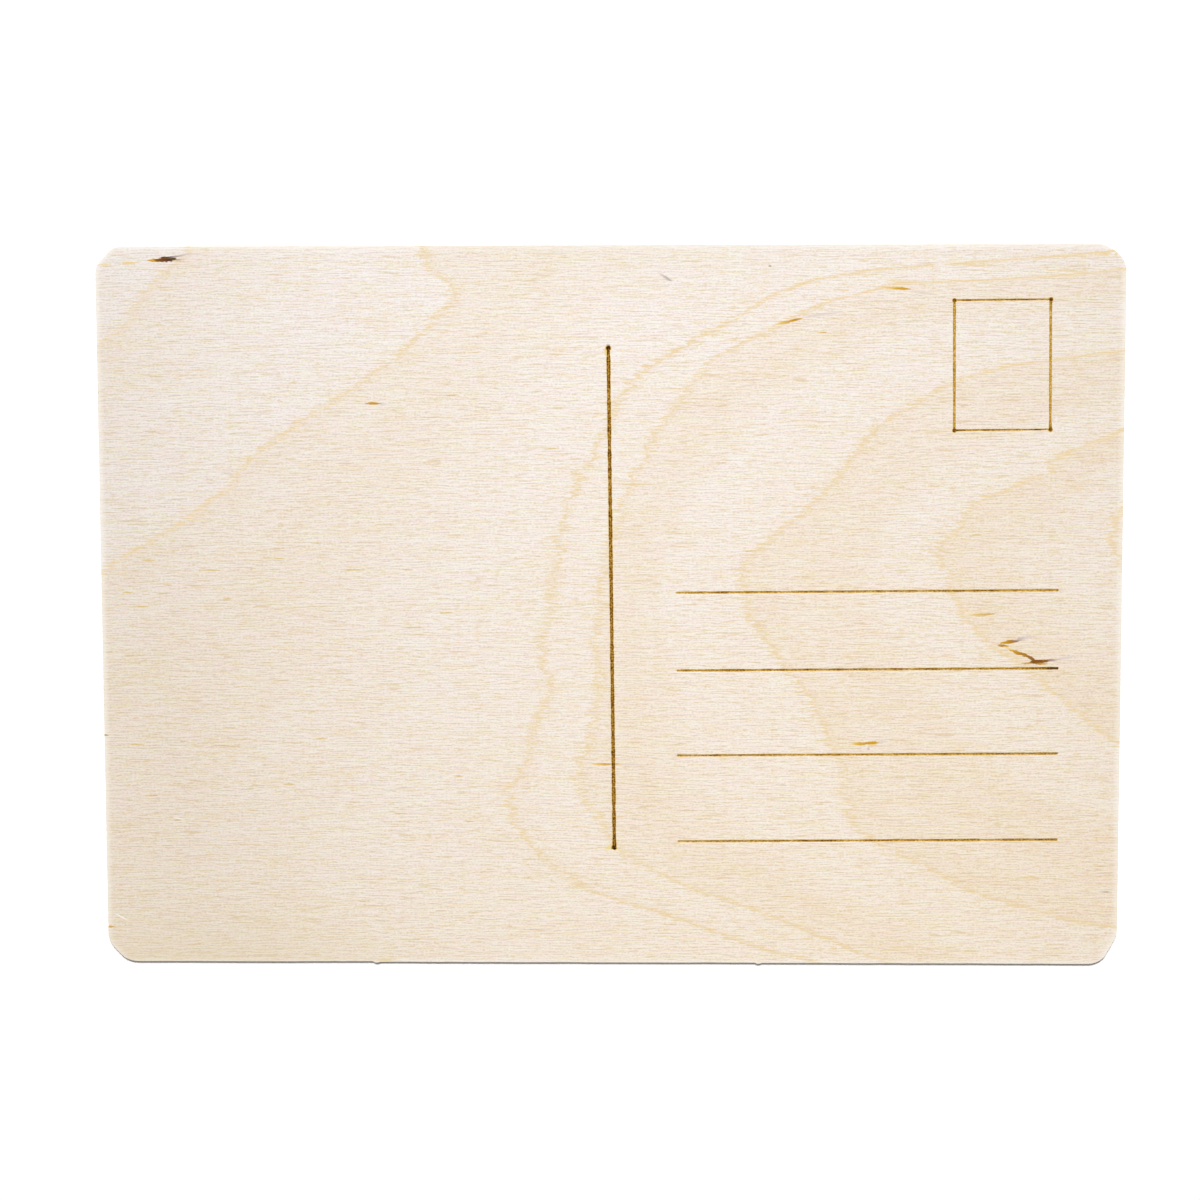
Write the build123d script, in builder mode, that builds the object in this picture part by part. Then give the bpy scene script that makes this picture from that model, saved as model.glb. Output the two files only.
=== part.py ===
from build123d import *
import os
from collections import namedtuple
from math import atan2, hypot, tan

# A wooden postcard: three plies of thin birch veneer, glued crosswise. A laser has scored the address side.
# X runs along the long side and Y up the card as it is read. The back is at Z = 0, and the address side
# looks up.
# All sizes are in millimetres and all angles in degrees.

os.makedirs("parts", exist_ok=True)

# Card, ISO A6
card_length = 148.0
card_height = 105.0

# Plies and the glue lines between them
face_ply = 0.30
core_ply = 0.30
back_ply = 0.30
glue_line = 0.05

# Corners, each cut off by hand and eased: the cut's legs along X and Y, and the radius at its two ends
top_left_leg_x = 2.7
top_left_leg_y = 2.9
top_left_ease = 2.5
top_right_leg_x = 3.3
top_right_leg_y = 2.0
top_right_ease = 3.6
bottom_left_leg_x = 2.9
bottom_left_leg_y = 3.2
bottom_left_ease = 3.6
bottom_right_leg_x = 2.4
bottom_right_leg_y = 4.5
bottom_right_ease = 3.2
ease_limit = 0.95  # share of a cut's length that its two easings may take up

# Scored layout, laid out square to itself and turned a little on the card
layout_turn = 0.43
score_depth = 0.12
dwell_deeper = 0.06  # where the laser starts, stops or turns, it burns deeper
dwell_wider = 0.16  # and wider

# Divider between message and address
divider_shift = 0.15  # from the middle of the card
divider_top_margin = 14.5
divider_bottom_margin = 17.16
divider_kerf = 0.50

# Address rules, from the lowest up
rule_gap = 9.55  # from the divider
rule_right_margin = 9.2
rule_bottom_margin = 18.21
lower_pitch = 12.68
middle_pitch = 12.48
upper_pitch = 11.37
rule_kerf = 0.39

# Stamp frame; a line across the grain burns wider than one along it
stamp_right_margin = 10.4
stamp_top_margin = 8.45
stamp_width = 13.78
stamp_height = 18.62
stamp_side_kerf = 0.43
stamp_end_kerf = 0.30

# Heights of the layers, from the back up
core_bottom = back_ply + glue_line
core_top = core_bottom + core_ply
face_bottom = core_top + glue_line
card_thickness = face_bottom + face_ply

# Places on the card
half_length = card_length / 2
half_height = card_height / 2

divider_top = half_height - divider_top_margin
divider_bottom = divider_bottom_margin - half_height
divider_middle = (divider_bottom + divider_top) / 2

rule_left = divider_shift + rule_gap
rule_right = half_length - rule_right_margin
rule_middle = (rule_left + rule_right) / 2
first_rule = rule_bottom_margin - half_height
second_rule = first_rule + lower_pitch
third_rule = second_rule + middle_pitch
fourth_rule = third_rule + upper_pitch

stamp_right = half_length - stamp_right_margin
stamp_left = stamp_right - stamp_width
stamp_top = half_height - stamp_top_margin
stamp_bottom = stamp_top - stamp_height
stamp_middle_x = (stamp_left + stamp_right) / 2
stamp_middle_y = (stamp_bottom + stamp_top) / 2

# One scored line: its middle, the way it runs, its length and the width that it burns
Score = namedtuple("Score", "x y angle length kerf")
ALONG_GRAIN = 0
ACROSS_GRAIN = 90

scores = [Score(divider_shift, divider_middle, ACROSS_GRAIN, divider_top - divider_bottom, divider_kerf)]
for rule_y in (first_rule, second_rule, third_rule, fourth_rule):
    scores.append(Score(rule_middle, rule_y, ALONG_GRAIN, rule_right - rule_left, rule_kerf))
for side_x in (stamp_left, stamp_right):
    scores.append(Score(side_x, stamp_middle_y, ACROSS_GRAIN, stamp_height, stamp_side_kerf))
for end_y in (stamp_bottom, stamp_top):
    scores.append(Score(stamp_middle_x, end_y, ALONG_GRAIN, stamp_width, stamp_end_kerf))

# One burn where the laser dwelt: its place and its width
Dwell = namedtuple("Dwell", "x y width")
dwells = []
for end_y in (divider_bottom, divider_top):
    dwells.append(Dwell(divider_shift, end_y, divider_kerf + dwell_wider))
for side_x in (stamp_left, stamp_right):
    for end_y in (stamp_bottom, stamp_top):
        dwells.append(Dwell(side_x, end_y, stamp_side_kerf + dwell_wider))


def eased(leg_x, leg_y, ease):
    """The easing radius of a corner's cut, held to what the cut's length has room for."""
    turn_at_x = atan2(leg_y, leg_x)
    turn_at_y = atan2(leg_x, leg_y)
    room = hypot(leg_x, leg_y) / (tan(turn_at_x / 2) + tan(turn_at_y / 2))
    return min(ease, ease_limit * room)


def nose_radius(width, depth):
    """The radius of a round-bottomed burn that is so wide at the surface and so deep in the middle."""
    return (width**2 / 4 + depth**2) / (2 * depth)


top_left = eased(top_left_leg_x, top_left_leg_y, top_left_ease)
top_right = eased(top_right_leg_x, top_right_leg_y, top_right_ease)
bottom_left = eased(bottom_left_leg_x, bottom_left_leg_y, bottom_left_ease)
bottom_right = eased(bottom_right_leg_x, bottom_right_leg_y, bottom_right_ease)

# The card's outline, which every layer shares, from the lower left corner round to the left
with BuildSketch() as outline:
    with BuildLine():
        FilletPolyline(
            (-half_length + bottom_left_leg_x, -half_height),
            (half_length - bottom_right_leg_x, -half_height),
            (half_length, -half_height + bottom_right_leg_y),
            (half_length, half_height - top_right_leg_y),
            (half_length - top_right_leg_x, half_height),
            (-half_length + top_left_leg_x, half_height),
            (-half_length, half_height - top_left_leg_y),
            (-half_length, -half_height + bottom_left_leg_y),
            radius=[
                bottom_left,
                bottom_right,
                bottom_right,
                top_right,
                top_right,
                top_left,
                top_left,
                bottom_left,
            ],
            close=True,
        )
    make_face()

# Back veneer, the picture side
with BuildPart() as back_veneer:
    with BuildSketch():
        add(outline.sketch)
    extrude(amount=back_ply)

# Glue line between the back and the core
with BuildPart() as back_glue_film:
    with BuildSketch(Plane.XY.offset(back_ply)):
        add(outline.sketch)
    extrude(amount=glue_line)

# Core veneer, whose grain runs across the card
with BuildPart() as core_veneer:
    with BuildSketch(Plane.XY.offset(core_bottom)):
        add(outline.sketch)
    extrude(amount=core_ply)

# Glue line between the core and the face
with BuildPart() as face_glue_film:
    with BuildSketch(Plane.XY.offset(core_top)):
        add(outline.sketch)
    extrude(amount=glue_line)

# Face veneer, with the layout scored into it
layout = Plane.XY.offset(card_thickness).rotated((0, 0, layout_turn))

with BuildPart() as face_veneer:
    with BuildSketch(Plane.XY.offset(face_bottom)):
        add(outline.sketch)
    extrude(amount=face_ply)

    # Each scored line is a trough with rounded ends, turned about an axis that lies above the face
    for score in scores:
        nose = nose_radius(score.kerf, score_depth)
        half_run = score.length / 2
        middle = layout.from_local_coords((score.x, score.y, nose - score_depth))
        along = Vector(1, 0, 0).rotate(Axis.Z, layout_turn + score.angle)
        upright = Plane(origin=middle, x_dir=along, z_dir=along.cross(Vector(0, 0, 1)))
        with BuildSketch(upright):
            with BuildLine():
                Line((-half_run - nose, 0), (half_run + nose, 0))
                CenterArc((half_run, 0), nose, 0, -90)
                Line((half_run, -nose), (-half_run, -nose))
                CenterArc((-half_run, 0), nose, -90, -90)
            make_face()
        revolve(axis=Axis(middle, along), mode=Mode.SUBTRACT)

    # Each dwell is a round pit, a little wider and deeper than the line that it ends
    pit_depth = score_depth + dwell_deeper
    for dwell in dwells:
        nose = nose_radius(dwell.width, pit_depth)
        with Locations(layout.from_local_coords((dwell.x, dwell.y, nose - pit_depth))):
            Sphere(nose, mode=Mode.SUBTRACT)

face_veneer.part.label = "face_veneer"
face_glue_film.part.label = "face_glue_film"
core_veneer.part.label = "core_veneer"
back_glue_film.part.label = "back_glue_film"
back_veneer.part.label = "back_veneer"

export_step(face_veneer.part, "parts/face_veneer.step")
export_step(face_glue_film.part, "parts/face_glue_film.step")
export_step(core_veneer.part, "parts/core_veneer.step")
export_step(back_glue_film.part, "parts/back_glue_film.step")
export_step(back_veneer.part, "parts/back_veneer.step")
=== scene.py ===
"""Dresses a wooden postcard: three birch veneers, two glue lines and a scored address layout.

Lengths in the classes are millimetres on the card: X along its long side, Y up the card as it is read, and
Z out of the address side. The card's back lies at Z = 0. Meshes are written in metres. In the finishes, cells
are how many of a thing go into a millimetre along each axis, and ends are the values between which a mask or
a colour changes.
"""

from __future__ import annotations

import logging
import math
from dataclasses import dataclass, field, fields, replace
from enum import Enum
from typing import Union

import bpy
import numpy as np
from mathutils import Euler, Matrix, Vector
from mathutils.geometry import delaunay_2d_cdt

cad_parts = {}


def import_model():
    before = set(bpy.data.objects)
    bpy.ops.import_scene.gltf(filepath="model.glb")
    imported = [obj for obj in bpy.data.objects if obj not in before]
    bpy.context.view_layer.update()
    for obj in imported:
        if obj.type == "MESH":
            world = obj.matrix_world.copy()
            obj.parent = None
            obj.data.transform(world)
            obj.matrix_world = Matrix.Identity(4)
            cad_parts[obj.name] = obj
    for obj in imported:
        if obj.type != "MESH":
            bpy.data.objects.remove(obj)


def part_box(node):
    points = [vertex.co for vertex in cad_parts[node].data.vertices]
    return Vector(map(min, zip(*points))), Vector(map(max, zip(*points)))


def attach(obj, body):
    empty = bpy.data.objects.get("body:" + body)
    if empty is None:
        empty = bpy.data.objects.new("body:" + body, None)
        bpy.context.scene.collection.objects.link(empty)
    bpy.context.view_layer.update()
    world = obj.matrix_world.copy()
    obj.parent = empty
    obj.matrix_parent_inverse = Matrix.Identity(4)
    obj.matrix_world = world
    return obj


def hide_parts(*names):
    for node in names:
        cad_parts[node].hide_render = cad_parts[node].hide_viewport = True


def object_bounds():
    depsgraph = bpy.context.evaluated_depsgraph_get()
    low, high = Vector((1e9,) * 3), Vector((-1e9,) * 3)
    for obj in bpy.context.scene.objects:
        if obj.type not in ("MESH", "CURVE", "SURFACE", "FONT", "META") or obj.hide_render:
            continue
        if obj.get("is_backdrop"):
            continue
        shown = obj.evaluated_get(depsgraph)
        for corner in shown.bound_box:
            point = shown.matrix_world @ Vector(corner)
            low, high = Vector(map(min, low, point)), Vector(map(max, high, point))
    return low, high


LOG = logging.getLogger("postcard")

MM = 0.001
MERGE = 1e-4  # points closer than this, in millimetres, are one point
ROOT = "root"
BAKE_MAP = "OFBake"

Colour = tuple[float, float, float]
Point = tuple[float, float]
Point3 = tuple[float, float, float]
Source = Union[bpy.types.NodeSocket, float, tuple]
Feeds = dict[Union[str, int], Source]


class Fibres(Enum):
    """The way that a veneer's fibres, or a scored line, run on the card."""

    ALONG = (1.0, 0.0)
    ACROSS = (0.0, 1.0)


class Shows(Enum):
    """The side of a layer that shows when the card is whole."""

    FACE = "face"
    BACK = "back"
    EDGE = "edge"


class CardSide(Enum):
    """The side of the card that a growth ring runs off, counterclockwise from the left."""

    LEFT = 0
    BOTTOM = 1
    RIGHT = 2
    TOP = 3


def smoothed(values: np.ndarray, reach: int) -> np.ndarray:
    """Averages values round a closed loop.

    Args:
        values: One value per point of the loop.
        reach: How many neighbours on each side are averaged in.

    Returns:
        The averaged values.
    """
    total = np.zeros_like(values)
    for shift in range(-reach, reach + 1):
        total += np.roll(values, shift)
    return total / (2 * reach + 1)


def walked(loop: np.ndarray) -> np.ndarray:
    """Gives the way walked round a closed loop up to each of its points, and once round at the end."""
    steps = np.linalg.norm(np.roll(loop, -1, axis=0) - loop, axis=1)
    return np.concatenate(([0.0], np.cumsum(steps)))


def inside(polygon: np.ndarray, points: np.ndarray) -> np.ndarray:
    """Tells which points lie inside a closed polygon.

    Args:
        polygon: Its corners, one row each.
        points: The points, one row each.

    Returns:
        One truth value per point.
    """
    ahead = np.roll(polygon, -1, axis=0)
    x, y = points[:, :1], points[:, 1:]
    spans = (polygon[:, 1] > y) != (ahead[:, 1] > y)
    rise = ahead[:, 1] - polygon[:, 1]
    rise = np.where(np.abs(rise) < MERGE, MERGE, rise)
    crossing = polygon[:, 0] + (y - polygon[:, 1]) * (ahead[:, 0] - polygon[:, 0]) / rise
    return np.count_nonzero(spans & (x < crossing), axis=1) % 2 == 1


@dataclass(frozen=True)
class CornerCut:
    """One corner of the card, cut off by hand: the cut's legs and the radius at its two ends."""

    leg_x: float
    leg_y: float
    ease: float


@dataclass(frozen=True)
class Walk:
    """A walk round the card's edge, counterclockwise: its points and the way out at each."""

    points: np.ndarray
    normals: np.ndarray

    def drawn_in(self, gap: np.ndarray | float) -> np.ndarray:
        """Moves the walk's points inwards by a gap, one value for all or one for each."""
        return self.points - self.normals * np.reshape(gap, (-1, 1))


@dataclass(frozen=True)
class CardOutline:
    """The outline that every layer of the card shares."""

    half_length: float
    half_height: float
    bottom_left: CornerCut = CornerCut(2.9, 3.2, 3.6)
    bottom_right: CornerCut = CornerCut(2.4, 4.5, 3.2)
    top_right: CornerCut = CornerCut(3.3, 2.0, 3.6)
    top_left: CornerCut = CornerCut(2.7, 2.9, 2.5)
    ease_limit: float = 0.95  # how much of a cut's length its two easings may take up
    end_step: float = 0.16  # between the walk's points where fibres end at the edge
    side_step: float = 0.36  # and where they run along it
    least_arc: int = 4  # points round the smallest easing
    end_lean: float = 0.7  # fibres end at a side whose way out leans so far along them

    def eased(self, cut: CornerCut) -> float:
        """Holds a corner's easing radius to what the length of its cut has room for.

        Args:
            cut: The corner.

        Returns:
            The radius.
        """
        turns = math.atan2(cut.leg_y, cut.leg_x), math.atan2(cut.leg_x, cut.leg_y)
        room = math.hypot(cut.leg_x, cut.leg_y) / sum(math.tan(turn / 2) for turn in turns)
        return min(cut.ease, self.ease_limit * room)

    def corners(self) -> list[tuple[np.ndarray, float]]:
        """Lists the corners of the cut card.

        Returns:
            Each corner with its easing radius, counterclockwise.
        """
        found = []
        signs = ((-1, -1), (1, -1), (1, 1), (-1, 1))
        cuts = (self.bottom_left, self.bottom_right, self.top_right, self.top_left)
        for (sign_x, sign_y), cut in zip(signs, cuts):
            on_x = np.array((sign_x * (self.half_length - cut.leg_x), sign_y * self.half_height))
            on_y = np.array((sign_x * self.half_length, sign_y * (self.half_height - cut.leg_y)))
            ends = (on_y, on_x) if sign_x == sign_y else (on_x, on_y)
            found += [(end, self.eased(cut)) for end in ends]
        return found

    def clearance(self, points: np.ndarray) -> np.ndarray:
        """Measures how far points of the card lie in from its edge.

        Args:
            points: The points.

        Returns:
            One distance per point.
        """
        corners = [corner for corner, _ in self.corners()]
        gaps = []
        for start, end in zip(corners, corners[1:] + corners[:1]):
            heading = (end - start) / np.linalg.norm(end - start)
            gaps.append((points - start) @ np.array((-heading[1], heading[0])))
        return np.maximum(np.min(gaps, axis=0), 0.0)

    def walk(self, fibres: Fibres) -> Walk:
        """Walks round the outline, with short steps where the fibres end at the edge.

        Args:
            fibres: The way that the layer's fibres run.

        Returns:
            The walk.
        """
        corners = self.corners()
        arcs = []
        for index, (corner, ease) in enumerate(corners):
            before = corner - corners[index - 1][0]
            after = corners[(index + 1) % len(corners)][0] - corner
            before, after = before / np.linalg.norm(before), after / np.linalg.norm(after)
            turn = math.acos(float(np.clip(before @ after, -1.0, 1.0)))
            reach = ease * math.tan(turn / 2)
            arcs.append((corner - before * reach, corner + after * reach, before, turn, ease))

        points, normals = [], []
        for index, (start, _, heading, turn, ease) in enumerate(arcs):
            origin = arcs[index - 1][1]
            out = np.array((heading[1], -heading[0]))
            ends_here = abs(out @ np.array(fibres.value)) > self.end_lean
            length = np.linalg.norm(start - origin)
            count = max(1, round(length / (self.end_step if ends_here else self.side_step)))
            for share in np.arange(count) / count:
                points.append(origin + (start - origin) * share)
                normals.append(out)
            centre = start - out * ease
            count = max(self.least_arc, round(ease * turn / self.end_step))
            base = math.atan2(out[1], out[0])
            for angle in base + turn * np.arange(count) / count:
                normal = np.array((math.cos(angle), math.sin(angle)))
                points.append(centre + normal * ease)
                normals.append(normal)
        return Walk(np.array(points), np.array(normals))


@dataclass(frozen=True)
class Chip:
    """A place on the lower edge where the wood has split off.

    Attributes:
        x: Where it starts; from there it runs to the left.
        depth: How much is lost there.
        fades_over: How far to the left the loss fades.
        sliver: Width of the sliver that still stands to the right.
    """

    x: float
    depth: float
    fades_over: float
    sliver: float


@dataclass(frozen=True)
class Fray:
    """How far the fibres of an edge have broken back from the cut.

    Attributes:
        end_break: Mean loss where the fibres end at the edge.
        side_break: Mean loss where they run along it.
        lower_break: Further loss along the lower edge, which was trimmed once more.
        arris: Width of the worn rim round the side that shows.
        least: No loss is smaller.
        most: No loss is larger.
        proud: How much of the lower edge's loss is missing where a sliver still stands.
        even: How even the loss is from fibre to fibre where they end.
        side_even: How even it is where they run along the edge.
        bunched: How much of the loss at the ends comes in bunches.
        bunch: Neighbours on each side in a bunch.
        side_bunch: Neighbours on each side where the fibres run along the edge.
        chips: Places where slivers have split off the lower edge.
    """

    end_break: float = 0.055
    side_break: float = 0.038
    lower_break: float = 0.22
    arris: float = 0.045
    least: float = 0.012
    most: float = 0.45
    proud: float = 0.5
    even: float = 2.2
    side_even: float = 1.6
    bunched: float = 0.35
    bunch: int = 3
    side_bunch: int = 5
    chips: tuple[Chip, ...] = ()

    def losses(self, walk: Walk, fibres: Fibres, seed: int) -> np.ndarray:
        """Works out how far each point of an edge has broken back.

        Args:
            walk: The walk round the edge.
            fibres: The way that the fibres run.
            seed: Seed of the random draw.

        Returns:
            One loss per point of the walk.
        """
        draw = np.random.default_rng(seed)
        ends = np.abs(walk.normals @ np.array(fibres.value)) ** 2
        single = draw.gamma(self.even, 1 / self.even, len(ends))
        bunches = smoothed(draw.gamma(1.0, 1.0, len(ends)), self.bunch)
        ragged = (1 - self.bunched) * single + self.bunched * bunches
        slow = smoothed(draw.gamma(self.side_even, 1 / self.side_even, len(ends)), self.side_bunch)
        loss = self.end_break * ragged * ends + self.side_break * slow * (1 - ends)
        below = np.clip(-walk.normals[:, 1], 0, 1) ** 2
        loss += self.lower_break * below**2
        for chip in self.chips:
            gap = chip.x - walk.points[:, 0]
            stands = (gap < 0) & (gap > -chip.sliver)
            loss += chip.depth * below * np.where(gap >= 0, np.exp(-gap / chip.fades_over), 0.0)
            loss *= 1 - self.proud * below * stands
        return np.clip(loss, self.least, self.most)


@dataclass(frozen=True)
class ScoredLine:
    """One line that a laser has scored.

    Attributes:
        start: One end, on the layout.
        end: The other end.
        kerf: Its width at the surface.
        run: The way it runs.
        heat: How dark it is burnt.
        smoke: How far smoke has tinted the wood on its left and on its right.
        spread: How much of its width is dark.
        ends: How much darker it is at its start and at its end.
        fades_over: How far from an end that darkness fades.
        lean: How far to the left of its groove's middle it is burnt, at its start and at its end.
        seed: Seed of its waver.
    """

    start: Point
    end: Point
    kerf: float
    run: Fibres
    heat: float
    smoke: tuple[float, float] = (1.0, 1.0)
    spread: float = 1.0
    ends: Point = (0.0, 0.0)
    fades_over: float = 1.2
    lean: Point = (0.0, 0.0)
    seed: int = 0

    def half(self) -> float:
        """Gives half its length."""
        return math.dist(self.start, self.end) / 2

    def frame(self) -> tuple[np.ndarray, np.ndarray, np.ndarray]:
        """Works out how it lies on the layout.

        Returns:
            Its middle, the way it heads and the way to its left.
        """
        start, end = np.array(self.start), np.array(self.end)
        heading = (end - start) / np.linalg.norm(end - start)
        return (start + end) / 2, heading, np.array((-heading[1], heading[0]))

    def leant(self, along: np.ndarray) -> np.ndarray:
        """Gives how far to the left it is burnt at distances from its middle."""
        return np.interp(along, (-self.half(), self.half()), self.lean)


@dataclass(frozen=True)
class Dwell:
    """A pit where the laser started, stopped or turned.

    Attributes:
        x: Its place along the layout.
        y: Its place up the layout.
        width: Its width at the surface.
        heat: How dark it is burnt.
        darkest: Where its darkest spot lies from its middle.
    """

    x: float
    y: float
    width: float
    heat: float
    darkest: Point = (0.0, 0.0)


@dataclass(frozen=True)
class ScoredLayout:
    """The layout scored into the address side: a divider, four address rules and a stamp frame."""

    half_length: float
    half_height: float
    turn: float = 0.43  # degrees, on the card
    depth: float = 0.12
    dwell_deeper: float = 0.06
    dwell_wider: float = 0.16
    divider_shift: float = 0.15
    divider_top_margin: float = 14.5
    divider_bottom_margin: float = 17.16
    divider_kerf: float = 0.50
    rule_gap: float = 9.55
    rule_right_margin: float = 9.2
    rule_bottom_margin: float = 18.21
    rule_pitches: tuple[float, ...] = (12.68, 12.48, 11.37)
    rule_kerf: float = 0.39
    stamp_right_margin: float = 10.4
    stamp_top_margin: float = 8.45
    stamp_width: float = 13.78
    stamp_height: float = 18.62
    stamp_side_kerf: float = 0.43
    stamp_end_kerf: float = 0.30
    rule_ends: tuple[float, ...] = (0.25, 0.25, 0.8, 0.2)  # how much darker the rules' right ends are
    blunt: float = 2.0  # how many times shorter than its groove's round end a line is burnt
    ragged: float = 0.10  # how much a line's width wavers
    uneven: float = 0.22  # how much its depth and heat waver along the fibres; across them it is half of that
    most_waver: float = 1.8  # no waver is larger than so many times the usual
    overrun: float = 1.0  # past a line's ends, where its wavers go on
    least_knots: int = 4  # in the shortest line's wavers
    along_pace: float = 1.1  # between the wavers of a line along the fibres
    across_pace: float = 0.55  # and of one across them
    least_heat: float = 0.3  # share of its heat that a line has even where it isn't deep
    smoke_from: float = 1.15  # half widths from its middle at which its smoke starts
    along_step: float = 0.42  # between the mesh's points on a line along the fibres
    across_step: float = 0.28  # and on one across them
    tip_rays: tuple[float, ...] = (-60.0, -30.0, 0.0, 30.0, 60.0)  # of the mesh's points round a line's end
    pit_rays: int = 14  # and round a pit
    rows: tuple[float, ...] = (0.0, 0.42, 0.75, 1.0, 1.3, 2.0)  # of a line's half width
    across_burn: tuple[float, ...] = (0.56, 0.78, 1.0, 0.62, 0.12, 0.0)  # at those rows
    along_burn: tuple[float, ...] = (1.0, 0.92, 0.62, 0.26, 0.05, 0.0)
    dwell_burn: tuple[float, ...] = (1.0, 1.0, 0.88, 0.46, 0.08, 0.0)

    def lines(self) -> list[ScoredLine]:
        """Lays out the nine scored lines.

        Returns:
            The divider, the rules from the lowest up, and the stamp frame's sides and ends.
        """
        along, across = Fibres.ALONG, Fibres.ACROSS
        low, high = self.divider_ends()
        shift = self.divider_shift
        found = [ScoredLine(
            (shift, low), (shift, high), self.divider_kerf, across, heat=1.18, smoke=(0.5, 0.7), spread=0.88,
            ends=(0.7, 0.45), lean=(-0.19, -0.05), seed=21,
        )]
        left, right = shift + self.rule_gap, self.half_length - self.rule_right_margin
        y = self.rule_bottom_margin - self.half_height
        for index, (pitch, end) in enumerate(zip((0.0,) + self.rule_pitches, self.rule_ends)):
            y += pitch
            found.append(ScoredLine(
                (left, y), (right, y), self.rule_kerf, along, heat=0.70, ends=(-0.25, end), fades_over=2.0,
                lean=(0.03, -0.01), seed=31 + index,
            ))
        x_left, y_low, x_right, y_high = self.stamp_box()
        for index, x in enumerate((x_left, x_right)):
            found.append(ScoredLine(
                (x, y_low), (x, y_high), self.stamp_side_kerf, across, heat=0.76, spread=0.76,
                ends=(0.25, 0.2), lean=(0.04 * index, 0.05 * index), seed=41 + index,
            ))
        for index, y in enumerate((y_low, y_high)):
            found.append(ScoredLine(
                (x_left, y), (x_right, y), self.stamp_end_kerf, along, heat=0.76, ends=(0.3, 0.3),
                fades_over=0.7, lean=(0.03, 0.03), seed=51 + index,
            ))
        return found

    def divider_ends(self) -> Point:
        """Gives the heights of the divider's lower and upper ends on the layout."""
        return self.divider_bottom_margin - self.half_height, self.half_height - self.divider_top_margin

    def stamp_box(self) -> tuple[float, float, float, float]:
        """Works out where the stamp frame lies on the layout.

        Returns:
            The places of its left, lower, right and upper lines.
        """
        right = self.half_length - self.stamp_right_margin
        top = self.half_height - self.stamp_top_margin
        return right - self.stamp_width, top - self.stamp_height, right, top

    def dwells(self) -> list[Dwell]:
        """Lays out the pits.

        Returns:
            The pits at the divider's ends and at the stamp frame's corners.
        """
        low, high = self.divider_ends()
        wide = self.divider_kerf + self.dwell_wider
        found = [
            Dwell(self.divider_shift, low, wide, heat=1.6, darkest=(0.15, 0.22)),
            Dwell(self.divider_shift, high, wide, heat=1.55, darkest=(0.04, -0.28)),
        ]
        x_left, y_low, x_right, y_high = self.stamp_box()
        for x in (x_left, x_right):
            for y in (y_low, y_high):
                found.append(Dwell(x, y, self.stamp_side_kerf + self.dwell_wider, heat=1.12))
        return found

    def on_layout(self, points: np.ndarray) -> np.ndarray:
        """Turns points of the card into points of the layout."""
        return points @ self.turned()

    def on_card(self, points: np.ndarray) -> np.ndarray:
        """Turns points of the layout into points of the card."""
        return points @ self.turned().T

    def turned(self) -> np.ndarray:
        """Gives the layout's turn on the card as a matrix."""
        angle = math.radians(self.turn)
        return np.array(((math.cos(angle), -math.sin(angle)), (math.sin(angle), math.cos(angle))))

    def wavers(self, line: ScoredLine, along: np.ndarray) -> tuple[np.ndarray, np.ndarray]:
        """Works out a line's half width and its share of the full depth at some places on it.

        Args:
            line: The line.
            along: Distances from the line's middle.

        Returns:
            The half widths, and the shares of the depth.
        """
        draw = np.random.default_rng(line.seed)
        pace, uneven = self.along_pace, self.uneven
        if line.run is Fibres.ACROSS:
            pace, uneven = self.across_pace, self.uneven / 2
        reach = line.half() + self.overrun
        knots = np.linspace(-reach, reach, max(self.least_knots, int(2 * line.half() / pace)))
        most = self.most_waver
        drawn = [draw.normal(0.0, 1.0, len(knots)).clip(-most, most) for _ in range(2)]
        width, beads = (np.interp(along, knots, values) for values in drawn)
        return line.kerf / 2 * (1 + self.ragged * width), 1 + uneven * beads

    def placed(self, line: ScoredLine, points: np.ndarray) -> tuple[np.ndarray, np.ndarray, np.ndarray]:
        """Places points against a line.

        Args:
            line: The line.
            points: Points on the layout.

        Returns:
            Distances along the line from its middle, distances to its left, and distances from it.
        """
        middle, heading, leftward = line.frame()
        along, left = (points - middle) @ heading, (points - middle) @ leftward
        return along, left, np.hypot(left, np.maximum(np.abs(along) - line.half(), 0))

    def clearance(self, points: np.ndarray) -> np.ndarray:
        """Gives how far points of the card lie from the nearest line."""
        spots = self.on_layout(points)
        return np.min([self.placed(line, spots)[2] for line in self.lines()], axis=0)

    def scored(self, points: np.ndarray) -> tuple[np.ndarray, np.ndarray]:
        """Works out how deep and how dark the layout is burnt at points of the card.

        Args:
            points: Points on the card.

        Returns:
            The depths, and the burns from 0 for clean wood to above 1 for char.
        """
        spots = self.on_layout(points)
        deep = np.zeros(len(spots))
        burn = np.zeros(len(spots))
        for line in self.lines():
            along, left, away = self.placed(line, spots)
            half, share = self.wavers(line, along)
            at = away / half
            deep = np.maximum(deep, self.depth * share * np.clip(1 - at**2, 0, 1))
            shape = self.across_burn if line.run is Fibres.ACROSS else self.along_burn
            over = np.sqrt(np.maximum(away**2 - left**2, 0))
            left = left - line.leant(along)
            at = np.hypot(left, self.blunt * over) / half
            smoke = np.where(left > 0, line.smoke[0], line.smoke[1])
            tone = np.interp(at / line.spread, self.rows, shape) * np.where(at > self.smoke_from, smoke, 1.0)
            heat = line.heat * (self.least_heat + (1 - self.least_heat) * share)
            burn = np.maximum(burn, heat * tone * self.ends_burn(line, along))
        for dwell in self.dwells():
            at = np.hypot(spots[:, 0] - dwell.x, spots[:, 1] - dwell.y) / (dwell.width / 2)
            deep = np.maximum(deep, (self.depth + self.dwell_deeper) * np.clip(1 - at**2, 0, 1))
            middle = np.array((dwell.x, dwell.y)) + np.array(dwell.darkest)
            at = np.linalg.norm(spots - middle, axis=1) / (dwell.width / 2)
            burn = np.maximum(burn, dwell.heat * np.interp(at, self.rows, self.dwell_burn))
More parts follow.
